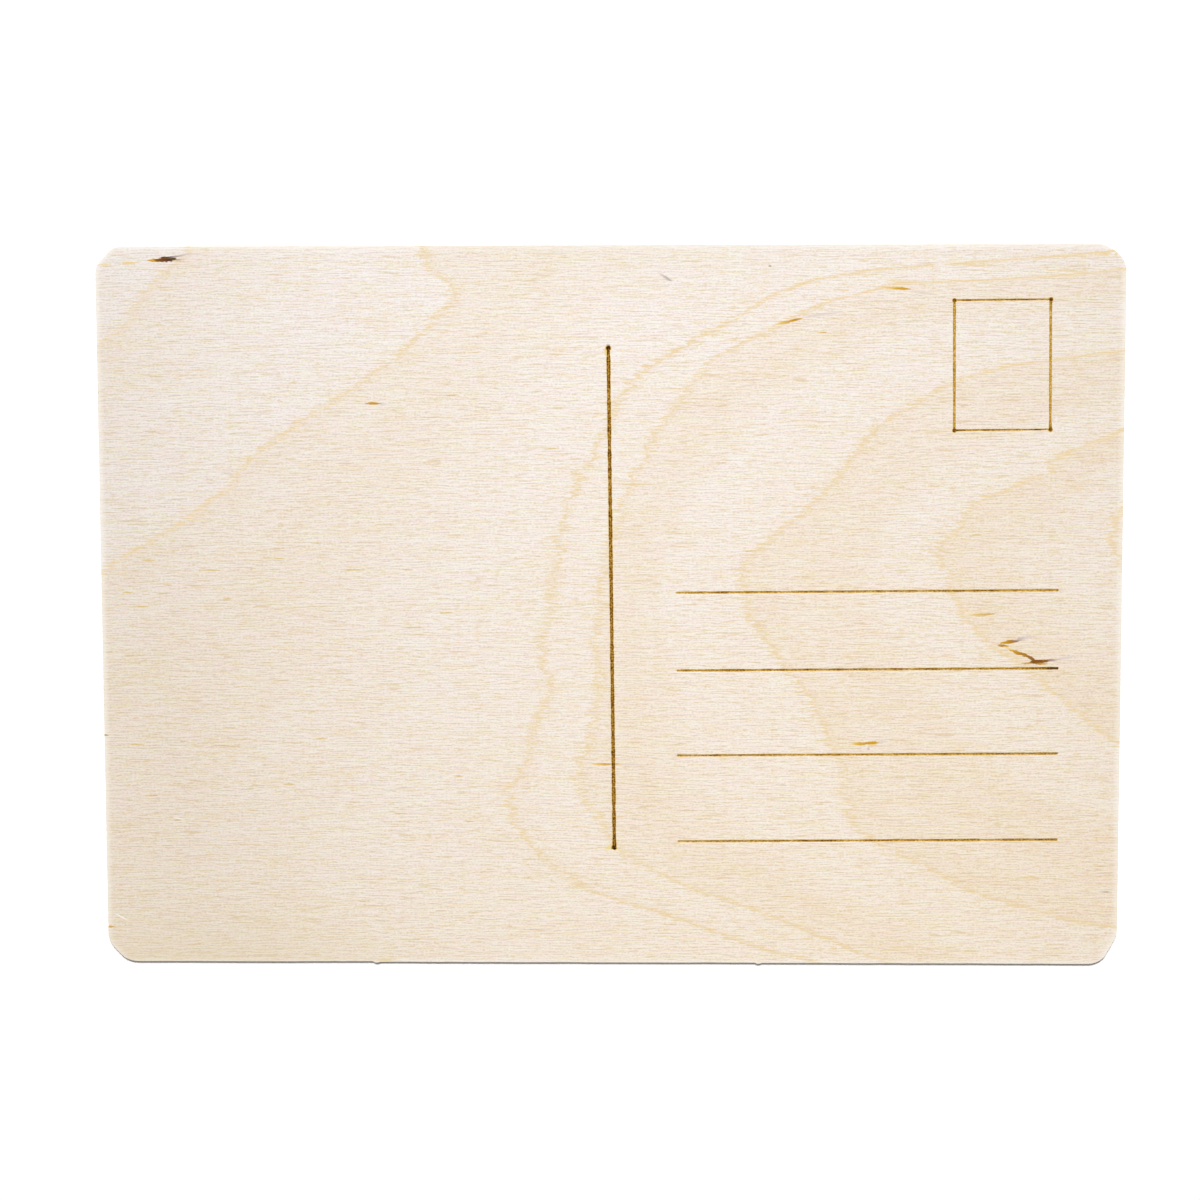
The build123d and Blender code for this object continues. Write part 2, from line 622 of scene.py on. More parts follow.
        return deep, burn

    def ends_burn(self, line: ScoredLine, along: np.ndarray) -> np.ndarray:
        """Works out how much a line's heat is multiplied by towards its ends.

        Args:
            line: The line.
            along: Distances from the line's middle.

        Returns:
            One share per place.
        """
        gaps = np.maximum(line.half() + along, 0), np.maximum(line.half() - along, 0)
        return 1 + sum(more * np.exp(-gap / line.fades_over) for more, gap in zip(line.ends, gaps))

    def mesh_points(self) -> np.ndarray:
        """Lists the points that the face's mesh needs to show the lines.

        Returns:
            The points, on the card.
        """
        found = []
        offsets = np.array([-row for row in reversed(self.rows) if row] + list(self.rows))
        for line in self.lines():
            middle, heading, left = line.frame()
            step = self.across_step if line.run is Fibres.ACROSS else self.along_step
            stations = np.linspace(-line.half(), line.half(), max(2, round(2 * line.half() / step)))
            half, _ = self.wavers(line, stations)
            for station, width, lean in zip(stations, half, line.leant(stations)):
                spot = middle + heading * station + left * lean
                found += [spot + left * offset * width for offset in offsets]
            for way in (-heading, heading):
                tip = middle + way * line.half()
                for angle in np.radians(self.tip_rays):
                    ray = way * math.cos(angle) + left * math.sin(angle)
                    found += [tip + ray * row * line.kerf / 2 for row in self.rows[1:]]
        for dwell in self.dwells():
            middle = np.array((dwell.x, dwell.y))
            for angle in np.arange(self.pit_rays) * 2 * math.pi / self.pit_rays:
                ray = np.array((math.cos(angle), math.sin(angle)))
                found += [middle + ray * row * dwell.width / 2 for row in self.rows[1:-1]]
        return self.on_card(np.array(found))


@dataclass(frozen=True)
class GrowthRing:
    """One growth ring: points that its dark line passes, and the sides of the card that it runs between.

    Attributes:
        line: How dark the line is.
        tone: How much darker the newer wood starts behind it.
        holds: Share of the way to the next ring over which that tone holds.
        fades: Share of the way by which it has faded.
        rest: Share of the tone that stays.
        flare: How much darker still the wood is right behind the line.
    """

    points: tuple[Point, ...]
    enters: CardSide
    leaves: CardSide
    line: float = 1.0
    tone: float = 1.0
    holds: float = 0.1
    fades: float = 0.5
    rest: float = 0.1
    flare: float = 0.0


@dataclass(frozen=True)
class RingReading:
    """What the growth rings are like at some points of a veneer.

    Attributes:
        number: The ring's number, which grows evenly from one dark line to the next.
        offset: Distance to the nearest dark line, positive on its newer side.
        slope: How fast that distance grows along the fibres.
        line: How dark the nearest line is.
        before: How dark the wood is on that line's older side.
        after: How dark it is on its newer side.
    """

    number: np.ndarray
    offset: np.ndarray
    slope: np.ndarray
    line: np.ndarray
    before: np.ndarray
    after: np.ndarray


RING_VALUES = tuple(each.name for each in fields(RingReading))  # what a veneer's mesh stores


@dataclass(frozen=True)
class RingFigure:
    """The figure that growth rings draw on a veneer, from the outermost line inwards.

    Attributes:
        rings: The rings.
        first_tone: How dark the wood is before the first ring.
        far: A length well beyond the card.
        fade: How far outside the first and the last ring their numbers run on.
        flare_reach: How far behind a line its flare fades.
        apart: Shares of the way to the next ring up to which a line's two tones are kept apart, and by
            which they are one.
        cuts_per_span: How many straight cuts a line has between two of its points.
    """

    rings: tuple[GrowthRing, ...]
    first_tone: float = 0.0
    far: float = 300.0
    fade: float = 20.0
    flare_reach: float = 2.0
    apart: Point = (0.30, 0.45)
    cuts_per_span: int = 5

    def tone(self, ring: np.ndarray, age: np.ndarray | float, gap: np.ndarray | float) -> np.ndarray:
        """Works out how dark the wood is behind rings.

        Args:
            ring: The rings' places in the list, -1 for the wood before the first.
            age: Shares of the way from each ring to the next.
            gap: Distances from each ring's line.

        Returns:
            One tone per ring.
        """
        rows = [(each.tone, each.holds, each.fades, each.rest, each.flare) for each in self.rings]
        rows.append((self.first_tone, 0.0, 1.0, 1.0, 0.0))
        tone, holds, fades, rest, flare = np.array(rows)[ring].T
        faded = np.clip((age - holds) / (fades - holds), 0, 1)
        kept = 1 - (1 - rest) * faded**2 * (3 - 2 * faded)
        return tone * kept + flare * np.exp(-gap / self.flare_reach)

    def curve(self, ring: GrowthRing) -> np.ndarray:
        """Draws a smooth line through a ring's points.

        Args:
            ring: The ring.

        Returns:
            The line's points in order.
        """
        given = np.array(ring.points)
        ahead, behind = 2 * given[-1] - given[-2], 2 * given[0] - given[1]
        chain = np.vstack((behind, given, ahead))
        share = np.arange(self.cuts_per_span)[:, None] / self.cuts_per_span
        drawn = []
        for p0, p1, p2, p3 in zip(chain, chain[1:], chain[2:], chain[3:]):
            bend = (2 * p0 - 5 * p1 + 4 * p2 - p3) * share**2 + (3 * p1 - p0 - 3 * p2 + p3) * share**3
            drawn.append(p1 + 0.5 * ((p2 - p0) * share + bend))
        return np.vstack(drawn + [given[-1:]])

    def closed(self, ring: GrowthRing, line: np.ndarray) -> np.ndarray:
        """Closes a ring's line far outside the card, round its newer side.

        Args:
            ring: The ring.
            line: The smooth line through its points.

        Returns:
            The corners of the closed shape.
        """
        far = self.far
        beyond = {
            CardSide.LEFT: lambda p: (-far, p[1]),
            CardSide.BOTTOM: lambda p: (p[0], -far),
            CardSide.RIGHT: lambda p: (far, p[1]),
            CardSide.TOP: lambda p: (p[0], far),
        }
        after = ((-far, -far), (far, -far), (far, far), (-far, far))
        tail = [beyond[ring.leaves](line[-1])]
        side = ring.leaves.value
        while side != ring.enters.value:
            tail.append(after[side])
            side = (side + 1) % len(after)
        tail.append(beyond[ring.enters](line[0]))
        return np.vstack((line, np.array(tail)))

    def nearest(self, line: np.ndarray, points: np.ndarray) -> tuple[np.ndarray, np.ndarray]:
        """Finds the nearest place on a line.

        Args:
            line: The line's points.
            points: The points to start from.

        Returns:
            The distances, and the steps from the nearest place to each point.
        """
        best = np.full(len(points), np.inf)
        step = np.zeros_like(points)
        for start, end in zip(line, line[1:]):
            way = end - start
            share = np.clip((points - start) @ way / max(way @ way, MERGE), 0, 1)
            gap = points - start - share[:, None] * way
            away = np.hypot(gap[:, 0], gap[:, 1])
            closer = away < best
            best[closer] = away[closer]
            step[closer] = gap[closer]
        return best, step

    def read(self, points: np.ndarray) -> RingReading:
        """Reads the rings at points of the card.

        Args:
            points: Points on the card.

        Returns:
            The reading.
        """
        lines = [self.curve(ring) for ring in self.rings]
        within = np.array([inside(self.closed(r, line), points) for r, line in zip(self.rings, lines)])
        passed = np.cumprod(within, axis=0).sum(axis=0)
        found = [self.nearest(line, points) for line in lines]
        away = np.array([gap for gap, _ in found])
        steps = np.array([step for _, step in found])
        which = np.arange(len(points))
        last = len(self.rings) - 1
        older, newer = np.clip(passed - 1, 0, last), np.clip(passed, 0, last)
        behind, ahead = away[older, which], away[newer, which]
        number = passed - 1 + behind / np.maximum(behind + ahead, MERGE)
        number = np.where(passed == 0, -ahead / (ahead + self.fade), number)
        number = np.where(passed == last + 1, last + behind / (behind + self.fade), number)
        past = (behind <= ahead) & (passed > 0) | (passed == last + 1)
        index = np.where(past, older, newer)
        gap = away[index, which]
        sign = np.where(past, 1.0, -1.0)
        slope = sign * steps[index, which, 0] / np.maximum(gap, MERGE)
        line = np.array([ring.line for ring in self.rings])[index]
        tone = self.tone(passed - 1, number - passed + 1, behind)
        kept, one = self.apart
        near = np.clip((one - np.abs(number - np.round(number))) / (one - kept), 0, 1)
        before = tone + near * (np.where(past, self.tone(older - 1, 1.0, self.far), tone) - tone)
        after = tone + near * (np.where(past, tone, self.tone(newer, 0.0, 0.0)) - tone)
        return RingReading(number, sign * gap, slope, line, before, after)


@dataclass(frozen=True)
class Cap:
    """One side of a layer cut into triangles: its points, its triangles, and where the rim's points went."""

    points: np.ndarray
    triangles: np.ndarray
    rim: np.ndarray


def cut_cap(rim: np.ndarray, extra: np.ndarray) -> Cap:
    """Cuts one side of a layer into triangles.

    Args:
        rim: The points of its edge, counterclockwise.
        extra: Points inside it that become corners too.

    Returns:
        The side.
    """
    given = [Vector(point) for point in np.vstack((rim, extra)).tolist()]
    loop = list(range(len(rim)))
    points, _, triangles, came_from, _, _ = delaunay_2d_cdt(given, [], [loop], 1, MERGE)
    place = np.full(len(given), -1)
    for index, origins in enumerate(came_from):
        place[origins] = index
    return Cap(np.array([point[:] for point in points]), np.array(triangles), place[: len(rim)])


@dataclass
class LayerMesh:
    """The mesh of one layer: a wall of several loops and the two sides that close it.

    Attributes:
        loops: The wall's loops from the bottom up, each as points in the plane and a height.
        top: The upper side.
        bottom: The lower side.
        sunk: How far each point of the upper side lies below the wall's top.
        shows: The side that shows, which gets most of the room in the bake map.
        corners: The mesh's points, as they are found.
        faces: Its faces.
        spots: Where the faces' corners lie in the map.
        wall_rows: How many rows of the map the wall is cut into.
        row_height: Height of such a row.
        row_width: Width of such a row.
        row_fill: How much of the row's height the wall takes up.
        hidden_height: Height of the band for the side that doesn't show.
        gutter: Gap round the map's edge.
        band_gap: Gap between the two sides' bands.
        sharp_angle: Edges that turn by more than so many degrees stay sharp.
    """

    loops: list[tuple[np.ndarray, float]]
    top: Cap
    bottom: Cap
    sunk: np.ndarray
    shows: Shows
    corners: list[np.ndarray] = field(default_factory=list)
    faces: list[tuple[int, ...]] = field(default_factory=list)
    spots: list[tuple[float, float]] = field(default_factory=list)
    wall_rows: int = 4
    row_height: float = 0.022
    row_width: float = 0.98
    row_fill: float = 0.7
    hidden_height: float = 0.05
    gutter: float = 0.004
    band_gap: float = 0.006
    sharp_angle: float = 38.0

    def panel(self, plane: np.ndarray, low: float, high: float) -> np.ndarray:
        """Lays points of a side flat into a band of the bake map.

        Args:
            plane: The points.
            low: Lower end of the band.
            high: Upper end of the band.

        Returns:
            Their places in the map.
        """
        least, most = plane.min(axis=0), plane.max(axis=0)
        share = (plane - least) / (most - least)
        room = 1 - 2 * self.gutter
        return np.column_stack((self.gutter + room * share[:, 0], low + (high - low) * share[:, 1]))

    def raise_wall(self) -> None:
        """Joins the wall's loops with four-sided faces."""
        count = len(self.loops[0][0])
        for plane, height in self.loops:
            self.corners.append(np.column_stack((plane, np.full(count, height))))
        runs = walked(self.loops[0][0])
        span = runs[-1] / self.wall_rows
        heights = np.array([height for _, height in self.loops])
        rise = (heights - heights[0]) / (heights[-1] - heights[0])
        for level in range(len(self.loops) - 1):
            for index in range(count):
                ahead = (index + 1) % count
                low, high = level * count, (level + 1) * count
                self.faces.append((low + index, low + ahead, high + ahead, high + index))
                row = min(int(runs[index] / span), self.wall_rows - 1)
                starts = (runs[i] / span - row for i in (index, index + 1))
                left, right = (self.gutter + self.row_width * start for start in starts)
                floor, tall = self.gutter + row * self.row_height, self.row_fill * self.row_height
                low_v, high_v = (floor + tall * rise[i] for i in (level, level + 1))
                self.spots += [(left, low_v), (right, low_v), (right, high_v), (left, high_v)]

    def close(self, cap: Cap, loop: int, upward: bool, sunk: np.ndarray, low: float, high: float) -> None:
        """Closes one end of the wall.

        Args:
            cap: The side that closes it.
            loop: The loop that the side's rim meets.
            upward: True for the upper side.
            sunk: How far each of the side's points lies below the loop.
            low: Lower end of its band in the bake map.
            high: Upper end of its band.
        """
        count = len(self.loops[0][0])
        start = sum(len(block) for block in self.corners)
        place = np.full(len(cap.points), -1)
        place[cap.rim] = (loop % len(self.loops)) * count + np.arange(count)
        inner = np.flatnonzero(place < 0)
        place[inner] = start + np.arange(len(inner))
        height = self.loops[loop][1] - sunk[inner]
        self.corners.append(np.column_stack((cap.points[inner], height)))
        flat = self.panel(cap.points, low, high)
        triangles = cap.triangles if upward else cap.triangles[:, ::-1]
        self.faces += [tuple(row) for row in place[triangles].tolist()]
        self.spots += [tuple(spot) for spot in flat[triangles].reshape(-1, 2).tolist()]

    def make(self, name: str) -> bpy.types.Object:
        """Makes the layer's object.

        Args:
            name: Its name.

        Returns:
            The object, linked to the scene.
        """
        walls_end = 2 * self.gutter + self.wall_rows * self.row_height
        hidden = (walls_end, walls_end + self.hidden_height)
        shown = (hidden[1] + self.band_gap, 1 - self.gutter)
        upper, lower = (hidden, shown) if self.shows is Shows.BACK else (shown, hidden)
        self.raise_wall()
        self.close(self.top, -1, True, self.sunk, *upper)
        self.close(self.bottom, 0, False, np.zeros(len(self.bottom.points)), *lower)
        mesh = bpy.data.meshes.new(name)
        mesh.from_pydata((np.vstack(self.corners) * MM).tolist(), [], self.faces)
        chart = mesh.uv_layers.new(name=BAKE_MAP)
        chart.data.foreach_set("uv", np.array(self.spots, dtype=np.float32).ravel())
        mesh.validate()
        mesh.shade_smooth()
        mesh.set_sharp_from_angle(angle=math.radians(self.sharp_angle))
        item = bpy.data.objects.new(name, mesh)
        bpy.context.scene.collection.objects.link(item)
        return item


def store(item: bpy.types.Object, name: str, values: np.ndarray) -> None:
    """Stores one value per point of a mesh for its material to read.

    Args:
        item: The object.
        name: The name that the material asks for.
        values: The values.
    """
    layer = item.data.attributes.new(name, "FLOAT", "POINT")
    layer.data.foreach_set("value", np.asarray(values, dtype=np.float32))


def places(item: bpy.types.Object) -> np.ndarray:
    """Gives the points of an object's mesh.

    Args:
        item: The object.

    Returns:
        One row per point, in millimetres.
    """
    flat = np.empty(len(item.data.vertices) * 3, dtype=np.float32)
    item.data.vertices.foreach_get("co", flat)
    return flat.reshape(-1, 3).astype(float) / MM


class NodeBoard:
    """Places nodes in one node tree and joins them."""

    def __init__(self, tree: bpy.types.NodeTree) -> None:
        """Takes the tree that the nodes go into."""
        self.tree = tree

    def feed(self, socket: bpy.types.NodeSocket, source: Source) -> None:
        """Links a socket to another one, or sets its value.

        Args:
            socket: The input.
            source: An output, a number, a vector or a colour.
        """
        if isinstance(source, bpy.types.NodeSocket):
            self.tree.links.new(source, socket)
        elif socket.type == "RGBA" and len(source) == 3:
            socket.default_value = (*source, 1.0)
        else:
            socket.default_value = source

    def place(self, kind: str, feeds: Feeds | None = None, **settings: object) -> bpy.types.Node:
        """Places a node.

        Args:
            kind: Blender's name for it.
            feeds: What goes into its inputs.
            settings: Its other settings.

        Returns:
            The node.
        """
        node = self.tree.nodes.new(kind)
        for name, value in settings.items():
            setattr(node, name, value)
        for name, source in (feeds or {}).items():
            self.feed(node.inputs[name], source)
        return node

    def maths(self, operation: str, *sources: Source) -> bpy.types.NodeSocket:
        """Places a Math node and gives its output."""
        return self.place("ShaderNodeMath", dict(enumerate(sources)), operation=operation).outputs[0]

    def vectors(self, operation: str, *sources: Source) -> bpy.types.NodeSocket:
        """Places a Vector Math node and gives the output that its operation fills."""
        node = self.place("ShaderNodeVectorMath", dict(enumerate(sources)), operation=operation)
        return node.outputs["Value" if operation in ("LENGTH", "DOT_PRODUCT") else "Vector"]

    def noise(
        self, place: Source, stretch: Colour, detail: float = 0.0, rough: float = 0.5
    ) -> bpy.types.NodeSocket:
        """Places a noise texture.

        Args:
            place: Where it is read, in millimetres.
            stretch: How many of its cells go into a millimetre along each axis.
            detail: How many finer layers it has.
            rough: How strong those are.

        Returns:
            Its value, which stays near 0.5.
        """
        cells = self.vectors("MULTIPLY", place, stretch)
        feeds = {"Vector": cells, "Scale": 1.0, "Detail": detail, "Roughness": rough}
        return self.place("ShaderNodeTexNoise", feeds).outputs[0]

    def swing(
        self, place: Source, stretch: Colour, detail: float = 0.0, rough: float = 0.5
    ) -> bpy.types.NodeSocket:
        """Places a noise texture in the same way, and gives how far its value lies from 0.5."""
        return self.maths("SUBTRACT", self.noise(place, stretch, detail, rough), 0.5)

    def eased(self, value: Source, low: Source, high: Source) -> bpy.types.NodeSocket:
        """Turns a value into a smooth step from 0 at low to 1 at high."""
        feeds = {"Value": value, "From Min": low, "From Max": high}
        return self.place("ShaderNodeMapRange", feeds, interpolation_type="SMOOTHSTEP").outputs[0]

    def scaled(self, value: Source, low: float, high: float) -> bpy.types.NodeSocket:
        """Turns a value from 0 to 1 into one from low to high."""
        return self.maths("MULTIPLY_ADD", value, high - low, low)

    def mixed(
        self, share: Source, first: Source, second: Source, blend: str = "MIX"
    ) -> bpy.types.NodeSocket:
        """Mixes two colours.

        Args:
            share: How much of the second goes in.
            first: The first colour.
            second: The second colour.
            blend: How they are blended.

        Returns:
            The mixed colour.
        """
        feeds = {0: share, 6: first, 7: second}  # where a Mix node takes its share and its colours
        return self.place("ShaderNodeMix", feeds, data_type="RGBA", blend_type=blend).outputs[2]

    def laid(self, mask: Source, share: float, under: Source, over: Source) -> bpy.types.NodeSocket:
        """Lays a share of one colour over another where a mask is set."""
        return self.mixed(self.maths("MULTIPLY", mask, share), under, over)

    def stored(self, name: str) -> bpy.types.NodeSocket:
        """Reads a value stored on the mesh."""
        return self.place("ShaderNodeAttribute", attribute_name=name).outputs["Fac"]

    def use(self, group: bpy.types.NodeTree, feeds: Feeds) -> bpy.types.NodeOutputs:
        """Places a node group and gives its outputs."""
        return self.place("ShaderNodeGroup", feeds, node_tree=group).outputs

    def seen(self) -> bpy.types.NodeSocket:
        """Tells what is seen from what only lights.

        Returns:
            1 for what is seen, also in a mirror or through glass, and 0 for what only lights.
        """
        rays = self.place("ShaderNodeLightPath").outputs
        found = self.maths("MAXIMUM", rays["Is Camera Ray"], rays["Is Glossy Ray"])
        return self.maths("MAXIMUM", found, rays["Is Transmission Ray"])


SOCKETS = {"vector": "NodeSocketVector", "value": "NodeSocketFloat"}


def open_group(
    name: str, takes: dict[str, str], gives: dict[str, str]
) -> tuple[bpy.types.NodeTree, NodeBoard, dict[str, bpy.types.NodeSocket], bpy.types.Node]:
    """Opens a new shader node group.

    Args:
        name: Its name.
        takes: Its inputs by name, each a vector or a value.
        gives: Its outputs by name.

    Returns:
        The group, a board to fill it from, its inputs by name, and the node that its outputs go to.
    """
    group = bpy.data.node_groups.new(name, "ShaderNodeTree")
    for way, sockets in (("INPUT", takes), ("OUTPUT", gives)):
        for label, kind in sockets.items():
            group.interface.new_socket(label, in_out=way, socket_type=SOCKETS[kind])
    board = NodeBoard(group)
    entry = board.place("NodeGroupInput")
    return group, board, {label: entry.outputs[label] for label in takes}, board.place("NodeGroupOutput")


@dataclass(frozen=True)
class FibreGrain:
    """The grain of birch, whose fibres run along X of the place that it is given.

    Attributes:
        drift_cells: Slow bends of the fibres.
        drift: How strong those are.
        sway_cells: Quick bends.
        sway: How strong those are.
        short_cells: Short hairs.
        long_cells: Long hairs.
        pale_gap: How far above a dark hair its pale one lies.
        dark_share: How strong the dark one is against the pale one.
        break_cells: Breaks in the hairs.
        breaks: How strong a hair is at its weakest and at its strongest.
        speck_cells: Specks between the hairs.
        speck: How strong those are.
        contrast: How far hairs and specks move the streaks from 0.5.
        check_cells: Checks, longer than the pores.
        golden: Yellow dashes from short to long: cells along and across the fibres, and their share.
        rosy: Pink dashes in the same way.
    """

    drift_cells: Colour = (0.012, 0.05, 0.05)
    drift: float = 1.4
    sway_cells: Colour = (0.10, 0.5, 0.5)
    sway: float = 0.10
    short_cells: Colour = (0.62, 5.2, 5.2)
    long_cells: Colour = (0.24, 4.8, 4.8)
    pale_gap: float = 0.15
    dark_share: float = 0.85
    break_cells: Colour = (1.1, 3.0, 3.0)
    breaks: Point = (0.2, 1.8)
    speck_cells: Colour = (3.2, 5.0, 5.0)
    speck: float = 1.3
    contrast: float = 0.30
    pore_cells: Colour = (0.7, 7.0, 7.0)
    pore_ends: Point = (0.64, 0.78)
    check_cells: Colour = (0.34, 3.6, 3.6)
    check_ends: Point = (0.72, 0.82)
    golden: tuple[Point3, ...] = ((1.8, 3.4, 0.30), (0.55, 3.4, 0.36), (0.18, 2.2, 0.24), (0.05, 0.5, 0.10))
    golden_ends: Point = (0.465, 0.63)
    rosy: tuple[Point3, ...] = ((1.1, 2.6, 0.58), (0.24, 1.8, 0.42))
    rosy_ends: Point = (0.38, 0.62)

    def streaks(self, board: NodeBoard, place: Source, wavy: Source) -> Source:
        """Places the nodes of the hairs: dark ones, each with a pale one, broken up along the fibres.

        Args:
            board: Where they go.
            place: Where on the veneer, in millimetres.
            wavy: The same place, moved with the fibres' bends.

        Returns:
            A value near 0.5, lower in dark hairs and higher in pale ones.
        """
        hairs = []
        for spot in (wavy, board.vectors("ADD", wavy, (0.0, self.pale_gap, 0.0))):
            short, long = board.noise(spot, self.short_cells), board.noise(spot, self.long_cells)
            hairs.append(board.maths("ADD", short, long))
        both = board.maths("MULTIPLY_ADD", hairs[1], -self.dark_share, hairs[0])
        both = board.maths("SUBTRACT", both, 1 - self.dark_share)
        both = board.maths("MULTIPLY", both, board.scaled(board.noise(place, self.break_cells), *self.breaks))
        both = board.maths("MULTIPLY_ADD", board.noise(place, self.speck_cells), self.speck, both)
        return board.maths("MULTIPLY_ADD", both, self.contrast, 0.5 - self.contrast * self.speck / 2)

    def dashes(
        self, board: NodeBoard, place: Source, layers: tuple[Point3, ...], ends: Point
    ) -> bpy.types.NodeSocket:
        """Places the nodes of dashes.

        Args:
            board: Where they go.
            place: Where they are read.
            layers: Their cells along and across the fibres, and the share of each.
            ends: Their ends.

        Returns:
            Their mask.
        """
        total: Source = 0.0
        for along, across, share in layers:
            total = board.maths("MULTIPLY_ADD", board.noise(place, (along, across, across)), share, total)
        return board.eased(total, *ends)

    def build(self) -> bpy.types.NodeTree:
        """Builds the grain.

        Returns:
            A group with Streaks as a value near 0.5, and Vessels, Golden and Rosy as masks of short open
            pores, of yellow dashes and of pink ones.
        """
        group, board, takes, gives = open_group(
            "Fibre grain",
            {"Place": "vector"},
            dict.fromkeys(("Streaks", "Vessels", "Golden", "Rosy"), "value"),
        )
        place = takes["Place"]
        drift = board.maths("MULTIPLY", board.swing(place, self.drift_cells, 1.0), self.drift)
        sway = board.maths("MULTIPLY", board.swing(place, self.sway_cells), self.sway)
        bend = board.place("ShaderNodeCombineXYZ", {"Y": board.maths("ADD", drift, sway)}).outputs[0]
        wavy = board.vectors("ADD", place, bend)
        moves = ((37.0, 11.0, 5.0), (71.0, 29.0, 3.0), (19.0, 43.0, 7.0), (89.0, 61.0, 1.0))
        for_pores, for_checks, for_gold, for_pink = (board.vectors("ADD", wavy, move) for move in moves)
        pores = board.eased(board.noise(for_pores, self.pore_cells), *self.pore_ends)
        checks = board.eased(board.noise(for_checks, self.check_cells), *self.check_ends)
        board.feed(gives.inputs["Streaks"], self.streaks(board, place, wavy))
        board.feed(gives.inputs["Vessels"], board.maths("MAXIMUM", pores, checks))
        board.feed(gives.inputs["Golden"], self.dashes(board, for_gold, self.golden, self.golden_ends))
        board.feed(gives.inputs["Rosy"], self.dashes(board, for_pink, self.rosy, self.rosy_ends))
        return group


@dataclass(frozen=True)
class RingLook:
    """The look of growth rings, from what is stored on a veneer's mesh.

    Attributes:
        line_reach: Share of the way to the next ring within which a line is drawn.
        comb_cells: Fibres that drag a line along.
        comb: How far those drag it.
        wobble_cells: Slow wobbles of a line.
        wobble: How far those drag it.
        starts: Where a dark line starts before its middle, along the fibres and across them.
        full: Where it is darkest.
        stops: Where it has faded behind its middle, along the fibres and across them.
        grainy: How dark it is in pale streaks and in dark ones.
        patchy: How dark it is between its patches and in them.
        step: From where to where the tone changes at a line.
        years: Fainter rings between two dark lines.
        faint: How strong those are.
    """

    line_reach: float = 0.3
    comb_cells: Colour = (0.24, 4.6, 4.6)
    comb: float = 6.0
    wobble_cells: Colour = (0.06, 0.32, 0.32)
    wobble: float = 2.8
    starts: Point = (-0.22, -0.42)
    full: float = 0.05
    stops: Point = (0.40, 0.85)
    streak_ends: Point = (0.66, 0.36)
    grainy: Point = (0.5, 1.25)
    patch_cells: Colour = (0.11, 0.3, 0.3)
    patch_ends: Point = (0.22, 0.6)
    patchy: Point = (0.75, 1.1)
    step: Point = (-0.35, 0.15)
    years: float = 7.0
    faint: float = 0.9

    def build(self) -> bpy.types.NodeTree:
        """Builds the rings.

        Returns:
            A group with Line as the mask of the dark lines and Tone as how far the wood is from the lightest.
        """
        group, board, takes, gives = open_group(
            "Growth rings",
            {name.title(): "value" for name in RING_VALUES} | {"Streaks": "value", "Place": "vector"},
            {"Line": "value", "Tone": "value"},
        )
        place, number, slope = takes["Place"], takes["Number"], takes["Slope"]

        # The grain drags each line along the fibres, most where the line crosses them
        comb = board.maths("MULTIPLY", board.swing(place, self.comb_cells, 2.0, 0.65), self.comb)
        wobble = board.maths("MULTIPLY", board.swing(place, self.wobble_cells, 1.0), self.wobble)
        shifted = board.maths("MULTIPLY_ADD", board.maths("ADD", comb, wobble), slope, takes["Offset"])

        # The dark line: sharp towards the older wood, softer behind, and patchy
        past = board.maths("SUBTRACT", number, board.maths("ROUND", number))
        edge = board.maths("LESS_THAN", board.maths("ABSOLUTE", past), self.line_reach)
        steep = board.maths("ABSOLUTE", slope)
        rise = board.eased(shifted, board.scaled(steep, *self.starts), self.full)
        fall = board.eased(shifted, board.scaled(steep, *self.stops), 0.0)
        grainy = board.scaled(board.eased(takes["Streaks"], *self.streak_ends), *self.grainy)
        patches = board.eased(board.noise(place, self.patch_cells, 1.0), *self.patch_ends)
        for share in (rise, fall, takes["Line"], grainy, board.scaled(patches, *self.patchy)):
            edge = board.maths("MULTIPLY", edge, share)
        board.feed(gives.inputs["Line"], board.maths("MINIMUM", edge, 1.0))

        # The tone of the wood on its two sides, with fainter rings between
        newer = board.eased(shifted, *self.step)
        tone = board.place("ShaderNodeMix", {0: newer, 2: takes["Before"], 3: takes["After"]}).outputs[0]
        years = board.place("ShaderNodeCombineXYZ", {"X": board.maths("MULTIPLY", number, self.years)})
        faint = board.swing(years.outputs[0], (1.0, 1.0, 1.0), 1.0)
        board.feed(gives.inputs["Tone"], board.maths("MULTIPLY_ADD", faint, self.faint, tone))
        return group


@dataclass(frozen=True)
class SpindleMask:
    """The mask of one fleck: pointed at both ends and frayed along the fibres.

    Attributes:
        share_ends: Where the colour changes from that of its start to that of its end, from -1 to 1.
        fray: How much the streaks fray its edge.
    """

    share_ends: Point = (-0.9, 0.6)
    fray: float = 0.7

    def build(self) -> bpy.types.NodeTree:
        """Builds the mask.

        Returns:
            A group with the Mask, and the Share of the way from its start to its end.
        """
        group, board, takes, gives = open_group(
            "Spindle fleck",
            dict.fromkeys(("Place", "Centre", "Along", "Across"), "vector")
            | dict.fromkeys(("Soft", "Streaks"), "value"),
            {"Mask": "value", "Share": "value"},
        )
        gap = board.vectors("SUBTRACT", takes["Place"], takes["Centre"])
        run = board.vectors("DOT_PRODUCT", gap, takes["Along"])
        board.feed(gives.inputs["Share"], board.eased(run, *self.share_ends))
        along = board.maths("MULTIPLY", run, run)
        across = board.maths("ABSOLUTE", board.vectors("DOT_PRODUCT", gap, takes["Across"]))
        reach = board.maths("ADD", along, across)
        frayed = board.maths("ADD", reach, board.scaled(takes["Streaks"], -self.fray, self.fray))
        outer = board.maths("ADD", takes["Soft"], 1.0)
        inner = board.maths("SUBTRACT", 1.0, takes["Soft"])
        board.feed(gives.inputs["Mask"], board.eased(frayed, outer, inner))
        return group


